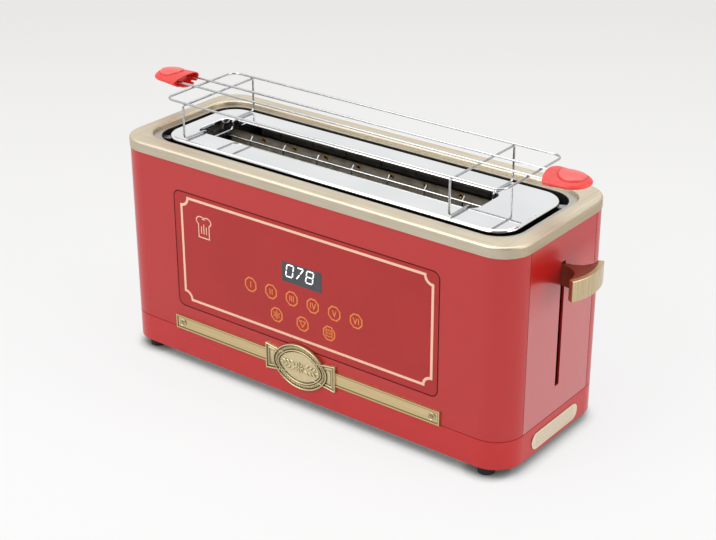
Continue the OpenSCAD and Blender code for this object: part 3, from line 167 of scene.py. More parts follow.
corners = FLOOR_HALF_M * np.array([(-1, -1, 0), (1, -1, 0), (1, 1, 0), (-1, 1, 0)])
floor_mesh = bpy.data.meshes.new("floor")
floor_mesh.from_pydata(corners.tolist(), [], [(0, 1, 2, 3)])
floor = bpy.data.objects.new("floor", floor_mesh)
scene.collection.objects.link(floor)
floor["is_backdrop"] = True
# matte paper: it takes the object's soft shadow, and its own pale tone shows through by the share of glow
paper = bpy.data.materials.new("seamless_paper")
paper.use_nodes = True
tree = paper.node_tree
tree.nodes.clear()
where = add(tree, "ShaderNodeTexCoord")
away = add(tree, "ShaderNodeMapping", {"Rotation": (0.0, 0.0, -heading)}, {"Vector": (where, "Object")})
apart = add(tree, "ShaderNodeSeparateXYZ", links={0: (away, 0)})
fade = add(tree, "ShaderNodeMapRange", {"From Min": FLOOR_FADE_M[0], "From Max": FLOOR_FADE_M[1]},
           {"Value": (apart, "Y")})
shade = add(tree, "ShaderNodeMix", {A: linear(FLOOR_NEAR), B: linear(FLOOR_FAR)}, {0: (fade, 0)},
            data_type="RGBA")
matte = add(tree, "ShaderNodeBsdfDiffuse", {"Roughness": 0.0}, {"Color": (shade, MIXED)})
near_by = add(tree, "ShaderNodeAmbientOcclusion", {"Distance": CONTACT_M}, samples=AO_SAMPLES)
clear = add(tree, "ShaderNodeMapRange", {"From Min": CONTACT_AO[0], "From Max": CONTACT_AO[1]},
            {"Value": (near_by, "AO")})
deep = add(tree, "ShaderNodeMix", {A: linear(CONTACT_TINT), B: WHITE}, {0: (clear, 0)}, data_type="RGBA")
contact = add(tree, "ShaderNodeMix", {0: 1.0}, {A: (shade, MIXED), B: (deep, MIXED)}, data_type="RGBA",
              blend_type="MULTIPLY")
glow = add(tree, "ShaderNodeEmission", {"Strength": 1.0}, {"Color": (contact, MIXED)})
share = add(tree, "ShaderNodeMath", {1: FLOOR_GLOW}, {0: (shown_by_ray(tree), 0)}, operation="MULTIPLY")
both = add(tree, "ShaderNodeMixShader", links={0: (share, 0), 1: (matte, 0), 2: (glow, 0)})
add(tree, "ShaderNodeOutputMaterial", links={"Surface": (both, 0)})
floor_mesh.materials.append(paper)

# Base: a black nylon floor plate with vents and tray runners, corner posts moulded of the same
# nylon, a cord gland in the rear wall, and four feet of soft black rubber held by steel screws.
NOISE_ROUGH, NOISE_SPAN = 0.55, (0.25, 0.75)


def finish(name, **sockets):
    """A new material with the named sockets of its shader set, and its tree and shader."""
    material = bpy.data.materials.new(name)
    material.use_nodes = True
    shader = material.node_tree.nodes["Principled BSDF"]
    for key, value in sockets.items():
        shader.inputs[key.replace("_", " ")].default_value = value
    return material, material.node_tree, shader


def grained(name, light, dark, grain_mm, rough, bump_um=0.0, detail=3.0, **sockets):
    """A finish whose colour, roughness and height follow one noise of the given grain in x, y, z.

    Colour runs from dark to light and roughness over its pair as the noise goes from low to high.
    """
    material, tree, shader = finish(name, **sockets)
    where = add(tree, "ShaderNodeTexCoord")
    scale = add(tree, "ShaderNodeMapping", {"Scale": [1000.0 / g for g in grain_mm]},
                {"Vector": (where, "Object")})
    noise = add(tree, "ShaderNodeTexNoise", {"Scale": 1.0, "Detail": detail, "Roughness": NOISE_ROUGH},
                {"Vector": (scale, 0)})
    tone = add(tree, "ShaderNodeMapRange", {"From Min": NOISE_SPAN[0], "From Max": NOISE_SPAN[1]},
               {"Value": (noise, 0)}, interpolation_type="SMOOTHSTEP")
    colour = add(tree, "ShaderNodeMix", {A: linear(dark), B: linear(light)}, {0: (tone, 0)},
                 data_type="RGBA")
    polish = add(tree, "ShaderNodeMapRange", {"To Min": rough[0], "To Max": rough[1]}, {"Value": (tone, 0)})
    tree.links.new(colour.outputs[MIXED], shader.inputs["Base Color"])
    tree.links.new(polish.outputs[0], shader.inputs["Roughness"])
    if bump_um:
        relief = add(tree, "ShaderNodeBump", {"Strength": 1.0, "Distance": bump_um * 1e-6},
                     {"Height": (noise, 0)})
        tree.links.new(relief.outputs[0], shader.inputs["Normal"])
    return material


def coat(material, *names):
    """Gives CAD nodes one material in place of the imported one."""
    for n in names:
        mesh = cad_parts[n].data
        mesh.materials.clear()
        mesh.materials.append(material)


# moulded nylon: a fine spark-eroded grain of about half a millimetre, dull
black_nylon = grained("moulded_nylon_black", "1b1b1c", "121213", (0.6, 0.6, 0.6), (0.45, 0.62), 12)
coat(black_nylon, "base_plate", "corner_posts", "cord_gland", "panel_frame", "relay", "panel_cable",
     "gap_collar")
# vulcanised rubber: almost no gloss, a dusty variation over a few millimetres
foot_rubber = grained("vulcanised_rubber_black", "232323", "161616", (3, 3, 3), (0.7, 0.85), 15)
coat(foot_rubber, "rubber_feet")
# zinc-plated steel: soft bluish grey with spangle of about two millimetres
zinc_steel = grained("zinc_plated_steel", "b9bcc0", "94979b", (2.2, 2.2, 2.2), (0.28, 0.42), 3,
                     Metallic=1.0)
coat(zinc_steel, "foot_screws", "plate_tabs", "left_chassis", "right_chassis", "carriage", "armature",
     "crumb_tray", "lift_spring")

# Body: a base band and two end panels moulded of red ABS, and two halves of sheet steel that are
# wrapped round the corners and stove-enamelled to match. All have a clear gloss over the colour.

# stove enamel: almost flat, with a slow waviness of the sheet under a hard gloss
red_enamel = grained("stove_enamel_red", "b02423", "ae2322", (60, 60, 60), (0.28, 0.3), detail=0.0)
coat(red_enamel, "front_shell", "rear_shell")
# moulded ABS, polished: faint flow marks some centimetres long
red_abs = grained("polished_abs_red", "b81b1b", "b61a1a", (90, 90, 60), (0.27, 0.29), detail=0.0)
coat(red_abs, "base_band")
# the same ABS, semi-gloss: it mirrors the pale floor as a veil over the red, with the knob's image in it
veiled_abs = grained("semi_gloss_abs_red", "b01e1b", "ae1d1a", (60, 60, 90), (0.2, 0.22), detail=0.0,
                     Coat_Roughness=0.16, Coat_IOR=1.65)
coat(veiled_abs, "lever_end_panel", "plain_end_panel")
# the gloss dies out between two heights, towards the top edge
GLOSS_Z_M, GLOSS = (0.122, 0.162), (1.0, 0.0)
tree = veiled_abs.node_tree
where = add(tree, "ShaderNodeTexCoord")
apart = add(tree, "ShaderNodeSeparateXYZ", links={0: (where, "Object")})
gloss = add(tree, "ShaderNodeMapRange",
            {"From Min": GLOSS_Z_M[0], "From Max": GLOSS_Z_M[1], "To Min": GLOSS[0], "To Max": GLOSS[1]},
            {"Value": (apart, "Z")})
tree.links.new(gloss.outputs[0], tree.nodes["Principled BSDF"].inputs["Coat Weight"])

# Top trim: one drawn aluminium ring, brushed round its length and anodised champagne. A grey steel ring
# under it shows as a ledge. The tray front at the lever end has the trim's finish.
STREAK_MM, STREAK_BUMP_um = (45.0, 0.5), 2.0
STREAK_DETAIL, STREAK_ROUGH, STREAK_SPAN = 4.0, 0.6, (0.3, 0.7)
# how far from the body's ends the brushing of each ring turns across, and over what length
TRIM_TURN, LEDGE_TURN, TURN_OVER = 22.0, 26.0, 10.0
band_low, band_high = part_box("base_band")
MID_X = 500.0 * (band_low.x + band_high.x)
END_X = 1000.0 * band_high.x - MID_X


def brushed(name, light, dark, along, rough, turn=None):
    """Brushed metal: noise drawn out along one axis, or along Y nearer than turn to the body's ends.

    Streaks are STREAK_MM long and wide. The colour and roughness follow them, and a low bump too.
    """
    material, tree, shader = finish(name, Metallic=1.0)
    where = add(tree, "ShaderNodeTexCoord")
    streaks = []
    for axis in (along, "Y") if turn else (along,):
        size = [STREAK_MM[0] if a == axis else STREAK_MM[1] for a in "XYZ"]
        scale = add(tree, "ShaderNodeMapping", {"Scale": [1000.0 / s for s in size]},
                    {"Vector": (where, "Object")})
        streaks.append(add(tree, "ShaderNodeTexNoise",
                           {"Scale": 1.0, "Detail": STREAK_DETAIL, "Roughness": STREAK_ROUGH},
                           {"Vector": (scale, 0)}))
    height = (streaks[0], 0)
    if turn:
        start = END_X - turn
        apart = add(tree, "ShaderNodeSeparateXYZ", links={0: (where, "Object")})
        off = add(tree, "ShaderNodeMath", {1: MID_X / 1000.0}, {0: (apart, "X")}, operation="SUBTRACT")
        far = add(tree, "ShaderNodeMath", links={0: (off, 0)}, operation="ABSOLUTE")
        turned = add(tree, "ShaderNodeMapRange",
                     {"From Min": start / 1000.0, "From Max": (start + TURN_OVER) / 1000.0},
                     {"Value": (far, 0)})
        blend = add(tree, "ShaderNodeMix",
                    links={"Factor": (turned, 0), "A": (streaks[0], 0), "B": (streaks[1], 0)})
        height = (blend, 0)
    tone = add(tree, "ShaderNodeMapRange", {"From Min": STREAK_SPAN[0], "From Max": STREAK_SPAN[1]},
               {"Value": height})
    colour = add(tree, "ShaderNodeMix", {A: linear(dark), B: linear(light)}, {0: (tone, 0)},
                 data_type="RGBA")
    polish = add(tree, "ShaderNodeMapRange", {"To Min": rough[0], "To Max": rough[1]}, {"Value": (tone, 0)})
    relief = add(tree, "ShaderNodeBump", {"Strength": 1.0, "Distance": STREAK_BUMP_um * 1e-6},
                 {"Height": height})
    tree.links.new(colour.outputs[MIXED], shader.inputs["Base Color"])
    tree.links.new(polish.outputs[0], shader.inputs["Roughness"])
    tree.links.new(relief.outputs[0], shader.inputs["Normal"])
    return material


def lay_over(material, share, code, blend="MIX"):
    """Lays or multiplies a colour over a finish: not where the share node gives 0, in full where 1."""
    tree = material.node_tree
    colour = tree.nodes["Principled BSDF"].inputs["Base Color"]
    under = colour.links[0].from_node
    over = add(tree, "ShaderNodeMix", {B: linear(code)}, {0: (share, 0), A: (under, MIXED)},
               data_type="RGBA", blend_type=blend)
    tree.links.new(over.outputs[MIXED], colour)


# anodised aluminium: a warm, soft shine with fine streaks along the ring
champagne = brushed("brushed_anodised_aluminium", "d6ccb8", "bcb09a", "X", (0.44, 0.52), TRIM_TURN)
coat(champagne, "top_trim")
# painted shade: the upright faces at the two ends are multiplied by a darker tint, by how far they face
# along the body
END_FACE_SHADE, END_SHADE_FACING = "e7e1d8", (0.5, 0.95)
tree = champagne.node_tree
surface = add(tree, "ShaderNodeNewGeometry")
apart = add(tree, "ShaderNodeSeparateXYZ", links={0: (surface, "Normal")})
endwise = add(tree, "ShaderNodeMath", links={0: (apart, "X")}, operation="ABSOLUTE")
end_shade = add(tree, "ShaderNodeMapRange", {"From Min": END_SHADE_FACING[0], "From Max": END_SHADE_FACING[1]},
             {"Value": (endwise, 0)})
lay_over(champagne, end_shade, END_FACE_SHADE, "MULTIPLY")
# the same aluminium with a lighter dye, brushed across the end
champagne_end = brushed("brushed_anodised_aluminium_end", "f0e2cc", "d8c8b0", "Y", (0.34, 0.44))
coat(champagne_end, "tray_front")
# stainless steel: neutral grey and a little sharper in its shine
steel_ledge = brushed("brushed_stainless_steel", "c6c3ba", "a6a39a", "X", (0.26, 0.36), LEDGE_TURN)
coat(steel_ledge, "ledge_ring")

# Top plate: pressed steel with a rolled slot lip, polished and chromed, and carried on small tabs.
# The chamber hangs under it: reflectors of aluminised sheet, wire bread guards and the lift on its rods.

# polished chrome: a clear mirror
chrome_plate = grained("polished_chrome_sheet", "eeeff0", "e8e9ea", (40, 40, 40), (0.03, 0.05), detail=0.0,
                       Metallic=1.0)
coat(chrome_plate, "top_plate")
# painted shade: the lip inside the slot is darkened between two depths under the top
LIP_SHADE_TINT, LIP_SHADE_DEPTH = "8a8f94", (1.2, 3.0)
plate_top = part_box("top_plate")[1].z
tree = chrome_plate.node_tree
where = add(tree, "ShaderNodeTexCoord")
apart = add(tree, "ShaderNodeSeparateXYZ", links={0: (where, "Object")})
lip_shade = add(tree, "ShaderNodeMapRange",
           {"From Min": plate_top - LIP_SHADE_DEPTH[0] / 1000.0, "From Max": plate_top - LIP_SHADE_DEPTH[1] / 1000.0},
           {"Value": (apart, "Z")})
lay_over(chrome_plate, lip_shade, LIP_SHADE_TINT)
# aluminised sheet: dull silver, cloudy over some millimetres
aluminised = grained("aluminised_steel_sheet", "a9abad", "939597", (6, 6, 6), (0.3, 0.45), Metallic=1.0)
coat(aluminised, "front_reflector", "rear_reflector")
# bright drawn wire: a slightly softer shine than the plate
chrome_wire = grained("bright_chromed_wire", "d4d6d8", "c4c6c8", (2.5, 2.5, 2.5), (0.12, 0.18),
                      Metallic=1.0)
coat(chrome_wire, "front_guard", "rear_guard", "guide_rods", "bread_lift")

# Heating chamber: two boards of brown mica, riveted along their edges with brass eyelets and wound
# with flat nichrome. They stand behind the bread guards.
EYELETS, EYELET_PITCH, EYELET_OFF, EYELET_IN = 8, 33.0, 14.0, 6.3
EYELET_R, EYELET_ROLL = 1.6, 0.5
EYELET_STEPS = (20, 8)

# mica: flakes a few millimetres long, satin, in brown and tan
mica = grained("mica_board", "988d7d", "746a5b", (7, 2, 3), (0.45, 0.7), 30)
coat(mica, "front_mica", "rear_mica")
# nichrome: grey-brown oxide on a rolled ribbon
nichrome = grained("oxidised_nichrome", "7d776e", "5a544c", (4, 1, 0.8), (0.35, 0.5), 4, Metallic=1.0)
coat(nichrome, "front_heater", "rear_heater")
# rolled brass: golden, with fine marks of the rolling tool
brass_eyelet = grained("rolled_brass_eyelet", "d2a054", "b07f38", (0.8, 0.8, 0.8), (0.3, 0.42), 2,
                       Metallic=1.0)


def piece(name, parts, material, body, smooth=False):
    """Makes one mesh of (points in mm, faces) parts, its normals outwards, riding on a body."""
    start = np.cumsum([0] + [len(p) for p, _ in parts])
    points = np.concatenate([p for p, _ in parts]) / 1000.0
    faces = [tuple(int(i) + int(s) for i in f) for s, (_, fs) in zip(start, parts) for f in fs]
    mesh = bpy.data.meshes.new(name)
    mesh.from_pydata(points.tolist(), [], faces)
    shell = bmesh.new()
    shell.from_mesh(mesh)
    bmesh.ops.recalc_face_normals(shell, faces=shell.faces)
    shell.to_mesh(mesh)
    shell.free()
    mesh.polygons.foreach_set("use_smooth", [smooth] * len(mesh.polygons))
    mesh.materials.append(material)
    made = bpy.data.objects.new(name, mesh)
    scene.collection.objects.link(made)
    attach(made, body)
    return made


def skin(grid, form="tube"):
    """Quads between neighbours of a (rows, points, 3) grid.

    In a tube the rows are closed and each end has a face. In a ring the last row joins the first one
    instead. A sheet is open all round.
    """
    n, k = grid.shape[:2]
    down = np.arange(n if form == "ring" else n - 1)
    across = np.arange(k - 1 if form == "sheet" else k)
    i, j = np.meshgrid(down, across, indexing="ij")
    after, beside = (i + 1) % n, (j + 1) % k
    quads = np.stack([i * k + j, i * k + beside, after * k + beside, after * k + j], -1)
    faces = quads.reshape(-1, 4).tolist()
    if form == "tube":
        faces += [list(range(k)), list(range((n - 1) * k, n * k))]
    return grid.reshape(-1, 3), faces


def circle(steps):
    """Angles that part a full turn into equal steps."""
    return np.linspace(0, 2 * np.pi, steps, False)


def ring(x, y, z, radius, roll):
    """A torus whose axis runs along Y: a circle of radius roll carried round a circle of the radius."""
    u, v = np.meshgrid(circle(EYELET_STEPS[0]), circle(EYELET_STEPS[1]), indexing="ij")
    out = radius + roll * np.cos(v)
    return skin(np.stack([x + out * np.cos(u), y + roll * np.sin(v), z + out * np.sin(u)], -1), "ring")


eyelets = []
for board, inner in (("front_mica", 1), ("rear_mica", 0)):
    low, high = (1000.0 * np.array(corner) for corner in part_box(board))
    for i in range(EYELETS):
        x = (low[0] + high[0]) / 2 + EYELET_OFF + (i - (EYELETS - 1) / 2) * EYELET_PITCH
        for z in (low[2] + EYELET_IN, high[2] - EYELET_IN):
            eyelets.append(ring(x, (low, high)[inner][1], z, EYELET_R, EYELET_ROLL))
piece("mica_eyelets", eyelets, brass_eyelet, "body", True)

# Power parts: circuit boards of green FR4 behind the panel and at the mains, a taped transformer and
# a magnet coil of enamelled copper that holds the carriage down.

# FR4: green solder resist over a fine glass weave
fr4 = grained("fr4_circuit_board", "2f6b45", "255a39", (2, 2, 2), (0.35, 0.5), 8)
coat(fr4, "touch_board", "power_board")
# polyester tape: yellow, in layers about a millimetre apart
yellow_tape = grained("taped_ferrite_transformer", "c9a93a", "b3942c", (5, 5, 1.2), (0.4, 0.55), 10)
coat(yellow_tape, "transformer")
# enamelled copper: turns of half-millimetre wire, red-brown and glossy
copper_wire = grained("enamelled_copper_winding", "b5622f", "8d4520", (9, 9, 0.5), (0.25, 0.4), 30,
                      Metallic=1.0)
coat(copper_wire, "electromagnet")

# Touch panel: toughened glass, painted red on its back and set in a bead of sealant. A cream border, amber
# key signs and a smoked window are screen-printed on it, and white segments shine through the window.
PRINT_MM, PRINT_BACK = 0.06, -0.04
PRINT_SHIFT, KEY_SHIFT = np.array([1.0, -0.4]), np.array([0.9, -0.2])
glass_low, glass_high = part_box("glass_panel")
GLASS_Y, GLASS_Z = 1000.0 * glass_low.y, 1000.0 * glass_low.z
GLASS_HALF, GLASS_H = 500.0 * (glass_high.x - glass_low.x), 1000.0 * (glass_high.z - glass_low.z)
PRINT_AT = PRINT_SHIFT + [MID_X, GLASS_Z]

# back-painted glass: an even deep red under a sharp mirror
red_glass = grained("back_painted_glass_red", "a41d1a", "a01b18", (60, 60, 60), (0.05, 0.07), detail=0.0,
                    Specular_IOR_Level=0.42)
coat(red_glass, "glass_panel", "display_module")
# screen-printed ink: matt, with the grain of the mesh
cream_ink = grained("cream_screen_print", "eabfa4", "e2b498", (0.8, 0.8, 0.8), (0.4, 0.5), 3)
amber_ink = grained("amber_screen_print", "df8433", "d4772a", (0.8, 0.8, 0.8), (0.4, 0.5), 3)
# silicone sealant: dark and dull, and its dark also stands for the shadow in the gap round the glass, a
# painted shadow
dark_bead = grained("dark_bead_and_gap_shadow", "4a0d0d", "3c0a0a", (2, 2, 2), (0.7, 0.8), Specular_IOR_Level=0.1)


def stroke(line, width, closed=False, out=PRINT_MM, back=PRINT_BACK):
    """A flat band along a line of (x, z) points on the panel, between two distances out of the glass.

    Each point moves half the width along the mitre of its two neighbours, to both sides, and the
    four-cornered section that this gives is carried along the line.
    """
    line = np.asarray(line, float)
    after = np.roll(line, -1, 0) - line
    before = line - np.roll(line, 1, 0)
    if not closed:
        after[-1], before[0] = before[-1], after[0]
    a, b = (d / np.linalg.norm(d, axis=1, keepdims=True) for d in (before, after))
    left_a, left_b = (np.stack([-d[:, 1], d[:, 0]], 1) for d in (a, b))
    mitre = (left_a + left_b) / (1.0 + (left_a * left_b).sum(1, keepdims=True))
    one, other = line + mitre * width / 2, line - mitre * width / 2
    front, rear = GLASS_Y - out, GLASS_Y - back
    section = [(one, front), (other, front), (other, rear), (one, rear)]
    points = np.stack([np.column_stack([s[:, 0], np.full(len(s), y), s[:, 1]]) for s, y in section], 1)
    return skin(points, "ring" if closed else "tube")


def arcs(turns, radius, steps):
    """Arcs of one radius, end to end: each about (x, z) from one angle to another, in degrees."""
    lines = []
    for x, z, start, stop in turns:
        a = np.radians(np.linspace(start, stop, steps))
        lines.append(np.column_stack([x + radius * np.cos(a), z + radius * np.sin(a)]))
    return np.concatenate(lines)


# the border is a rectangle with quarter circles bitten out of it, centred on its corners
BORDER_HALF, BORDER_LOW, BORDER_HIGH, BORDER_W = 123.0, 7.6, 98.1, 2.2
BITE_R, BITE_STEPS = 7.0, 13
bites = ((BORDER_HALF, BORDER_LOW, 180, 90), (BORDER_HALF, BORDER_HIGH, 270, 180),
         (-BORDER_HALF, BORDER_HIGH, 360, 270), (-BORDER_HALF, BORDER_LOW, 90, 0))
border = arcs(bites, BITE_R, BITE_STEPS) + PRINT_AT
piece("panel_border", [stroke(border, BORDER_W, True)], cream_ink, "body")

# the bead of sealant, which also paints the shadow in the gap round the glass, follows the glass, a
# rectangle with round corners
BEAD_R, BEAD_STEPS, BEAD_W, BEAD_OFF, BEAD_OUT, BEAD_BACK = 6.0, 9, 0.9, 0.25, 0.03, -0.8
right, top = GLASS_HALF + BEAD_OFF - BEAD_R, GLASS_H + BEAD_OFF - BEAD_R
foot = BEAD_R - BEAD_OFF
rounds = ((right, top, 0, 90), (-right, top, 90, 180), (-right, foot, 180, 270), (right, foot, 270, 360))
bead = stroke(arcs(rounds, BEAD_R, BEAD_STEPS) + [MID_X, GLASS_Z], BEAD_W, True, BEAD_OUT, BEAD_BACK)
piece("glass_bead_and_gap_shadow", [bead], dark_bead, "body")

SLICE_AT = PRINT_AT + [-99.5, 67.0]
SLICE_HALF, SLICE_FOOT, SLICE_SIDE, SLICE_W = 5.6, 0.6, 11.0, 0.9
SHOULDER_AT, SHOULDER_R, SHOULDER_DEG, SHOULDER_STEPS = (3.2, 15.0), (4.6, 3.6), (-60, 150), 11
CRUMBS, CRUMB_FOOT, CRUMB_W = ((-2.6, 10.5), (0.0, 12.5), (2.6, 10.5)), 4.0, 0.8


def slice_outline():
    """A bread slice: straight sides and foot, and a top of two rounded shoulders, which are ellipses."""
    a = np.radians(np.linspace(*SHOULDER_DEG, SHOULDER_STEPS))
    shoulder = np.column_stack([SHOULDER_AT[0] + SHOULDER_R[0] * np.cos(a),
                                SHOULDER_AT[1] + SHOULDER_R[1] * np.sin(a)])
    side = np.array([[SLICE_HALF, SLICE_FOOT], [SLICE_HALF, SLICE_SIDE]])
    half = np.concatenate([side, shoulder])
    return np.concatenate([half, half[::-1] * [-1, 1]])


bread = [stroke(slice_outline() + SLICE_AT, SLICE_W, True)]
bread += [stroke(SLICE_AT + [(x, CRUMB_FOOT), (x, top)], CRUMB_W) for x, top in CRUMBS]
piece("panel_bread_sign", bread, cream_ink, "body")

KEY_PITCH, LOW_KEY_PITCH = 21.0, 26.2
KEY_Z, LOW_KEY_Z = 40.8, 22.1
KEY_SIZE, KEY_LINE = (10.8, 11.3, 3.2), 1.1
# where the strokes of the numerals I to VI stand: one place for a bar, three for a V
NUMERALS = (
    ((0.0,),), ((-1.1,), (1.1,)), ((-1.9,), (0.0,), (1.9,)), ((-2.3,), (-0.8, 1.0, 2.8)),
    ((-1.8, 0.0, 1.8),), ((-2.8, -1.0, 0.8), (2.3,)),
)
NUMERAL_H, NUMERAL_LINE = 5.0, 0.85
SIGN_LINE = 0.8
FROST_DEG, FROST_R, FROST_RING, FROST_LINE = (30, 90, 150), 4.0, (4.4, 4.4, 1.4), 0.7
ARROW = ((-3.0, 2.2), (3.0, 2.2), (0.0, -2.8))
CRATE = ((-2.9, -2.6), (2.9, -2.6), (2.9, 2.8), (-2.9, 2.8))
CRATE_BARS, CRATE_BAR_Z = (-1.0, 1.0), (-1.2, 1.4)


def octagon(w, t, cut):
    """An octagon w wide and t tall with its corners cut by the given length."""
    x, z = w / 2, t / 2
    quarter = np.array([[x, z - cut], [x - cut, z]])
    return np.concatenate([quarter, quarter[::-1] * [-1, 1], -quarter, quarter[::-1] * [1, -1]])


def numeral(marks):
    """Roman strokes: a bar at x for one value, a V through three for three values."""
    top = NUMERAL_H / 2
    bars = [((m[0], -top), (m[0], top)) if len(m) == 1 else tuple(zip(m, (top, -top, top))) for m in marks]
    return [(bar, NUMERAL_LINE, False) for bar in bars]


spokes = [(math.cos(a), math.sin(a)) for a in np.radians(FROST_DEG)]
frost = [(np.outer([-FROST_R, FROST_R], spoke), SIGN_LINE, False) for spoke in spokes]
frost.append((octagon(*FROST_RING), FROST_LINE, True))
arrow = [(ARROW, SIGN_LINE, True)]
crate = [(CRATE, SIGN_LINE, True)] + [([(x, z) for z in CRATE_BAR_Z], SIGN_LINE, False) for x in CRATE_BARS]
rows = (([numeral(marks) for marks in NUMERALS], KEY_PITCH, KEY_Z),
        ([frost, arrow, crate], LOW_KEY_PITCH, LOW_KEY_Z))
keys = []
for signs, pitch, z in rows:
    for i, sign in enumerate(signs):
        at = PRINT_AT + KEY_SHIFT + [(i - (len(signs) - 1) / 2) * pitch, z]
        for line, width, closed in [(octagon(*KEY_SIZE), KEY_LINE, True)] + sign:
            keys.append(stroke(line + at, width, closed))
piece("panel_key_signs", keys, amber_ink, "body")

# smoked print: a dark grey film with a soft gloss
smoked = grained("smoked_display_window", "3e4246", "36393d", (6, 6, 6), (0.12, 0.2))
display_low, display_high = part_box("display_module")
SHOWN_W, SHOWN_H = (1000.0 * (display_high[axis] - display_low[axis]) for axis in (0, 2))
SHOWN_AT = PRINT_SHIFT + KEY_SHIFT + [MID_X, 500.0 * (display_high.z + display_low.z)]
window = stroke(SHOWN_AT + [(-SHOWN_W / 2, 0.0), (SHOWN_W / 2, 0.0)], SHOWN_H)
piece("display_window", [window], smoked, "body")

DIGIT_W, DIGIT_H, DIGIT_PITCH, DIGIT_LEAN = 6.6, 10.2, 9.9, 0.16
DIGIT_AT = SHOWN_AT + [-2.9, 1.5 - DIGIT_H / 2]
SEGMENT_W, SEGMENT_TRIM, SEGMENT_OUT, SEGMENT_BACK = 1.0, 0.55, 2 * PRINT_MM, -0.02
# ends of each segment in digit widths and half digit heights, and the segments of the three digits
SEGMENTS = {
    "a": ((0, 2), (1, 2)), "b": ((1, 2), (1, 1)), "c": ((1, 1), (1, 0)), "d": ((0, 0), (1, 0)),
    "e": ((0, 1), (0, 0)), "f": ((0, 2), (0, 1)), "g": ((0, 1), (1, 1)), "h": ((1, 2), (0.55, 1)),
    "i": ((0.55, 1), (0.1, 0)),
}
READING = ("abcdef", "ahi", "abcdefg")
# a lit diode behind a diffuser: even white
lit = finish("lit_segment", Base_Color=linear("f4f6f6"), Emission_Color=linear("f8fafa"),
             Emission_Strength=0.75)[0]
segments = []
for i, digit in enumerate(READING):
    for s in digit:
        ends = np.array(SEGMENTS[s], float) * [DIGIT_W, DIGIT_H / 2]
        step = (ends[1] - ends[0]) / np.linalg.norm(ends[1] - ends[0])
        ends += np.outer([SEGMENT_TRIM, -SEGMENT_TRIM], step)
        ends[:, 0] += ends[:, 1] * DIGIT_LEAN + (i - 1) * DIGIT_PITCH - DIGIT_W / 2
        segments.append(stroke(ends + DIGIT_AT, SEGMENT_W, out=SEGMENT_OUT, back=SEGMENT_BACK))
piece("display_digits", segments, lit, "body")

# Brass plate: a rolled strip with raised edges, held to the front shell by two rosette pins, and a cast
# cartouche over its middle, an oval on two flared wings with beads and a laurel in low relief.

# rolled brass: pale gold, with the streaks of the rolling along it
strip_brass = brushed("rolled_brass_strip", "dcc79b", "c8b183", "X", (0.32, 0.42))
coat(strip_brass, "brass_strip")
# a dark line runs a set distance inside the strip's edges: full and gone at two distances from its middle
GROOVE_IN, GROOVE_HALF, GROOVE_DARK = 1.5, (0.15, 0.6), "7d7048"
strip_low, strip_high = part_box("brass_strip")
tree = strip_brass.node_tree
where = add(tree, "ShaderNodeTexCoord")
apart = add(tree, "ShaderNodeSeparateXYZ", links={0: (where, "Object")})
to_edge = []
for axis in (0, 2):
    middle, half = (strip_high[axis] + strip_low[axis]) / 2, (strip_high[axis] - strip_low[axis]) / 2
    off = add(tree, "ShaderNodeMath", {1: middle}, {0: (apart, axis)}, operation="SUBTRACT")
    far = add(tree, "ShaderNodeMath", links={0: (off, 0)}, operation="ABSOLUTE")
    to_edge.append(add(tree, "ShaderNodeMath", {0: half}, {1: (far, 0)}, operation="SUBTRACT"))
nearest = add(tree, "ShaderNodeMath", links={0: (to_edge[0], 0), 1: (to_edge[1], 0)}, operation="MINIMUM")
off = add(tree, "ShaderNodeMath", {1: GROOVE_IN / 1000.0}, {0: (nearest, 0)}, operation="SUBTRACT")
far = add(tree, "ShaderNodeMath", links={0: (off, 0)}, operation="ABSOLUTE")
groove_line = add(tree, "ShaderNodeMapRange",
            {"From Min": GROOVE_HALF[0] / 1000.0, "From Max": GROOVE_HALF[1] / 1000.0,
             "To Min": 1.0, "To Max": 0.0}, {"Value": (far, 0)})
lay_over(strip_brass, groove_line, GROOVE_DARK)

# cast brass: dark in the hollows, by how open the surface is there, which is antique patina and painted
# shade in one; bright where it stands proud, mottled by the sand
CAST_DARK, CAST_BRIGHT, CAST_ROUGH = "6c6240", "dacaa2", (0.6, 0.42)
HOLLOW_MM, HOLLOW_AO = 2.2, (0.5, 0.97)
SAND_MM, SAND_DETAIL, MOTTLE = 3.0, 3.0, (-0.15, 0.1)
cast_brass, tree, shader = finish("cast_brass_patina_and_shade", Metallic=1.0)
openness = add(tree, "ShaderNodeAmbientOcclusion", {"Distance": HOLLOW_MM / 1000.0}, samples=AO_SAMPLES,
               only_local=True)
proud = add(tree, "ShaderNodeMapRange", {"From Min": HOLLOW_AO[0], "From Max": HOLLOW_AO[1]},
            {"Value": (openness, "AO")})
where = add(tree, "ShaderNodeTexCoord")
scale = add(tree, "ShaderNodeMapping", {"Scale": (1000.0 / SAND_MM,) * 3}, {"Vector": (where, "Object")})
sand = add(tree, "ShaderNodeTexNoise", {"Scale": 1.0, "Detail": SAND_DETAIL}, {"Vector": (scale, 0)})
mottle = add(tree, "ShaderNodeMapRange", {"To Min": MOTTLE[0], "To Max": MOTTLE[1]}, {"Value": (sand, 0)})
proud_mottled = add(tree, "ShaderNodeMath", links={0: (proud, 0), 1: (mottle, 0)}, operation="ADD", use_clamp=True)
colour = add(tree, "ShaderNodeMix", {A: linear(CAST_DARK), B: linear(CAST_BRIGHT)}, {0: (proud_mottled, 0)},
             data_type="RGBA")
polish = add(tree, "ShaderNodeMapRange", {"To Min": CAST_ROUGH[0], "To Max": CAST_ROUGH[1]},
             {"Value": (proud_mottled, 0)})
tree.links.new(colour.outputs[MIXED], shader.inputs["Base Color"])
tree.links.new(polish.outputs[0], shader.inputs["Roughness"])

cast_low, cast_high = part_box("cartouche")
CAST_BACK = 1000.0 * cast_high.y
CAST_Z = 500.0 * (cast_low.z + cast_high.z)
OVAL_A, OVAL_B, OVAL_END_R = 27.0, 19.3, 11.0
OVAL_STEPS = (42, 18)
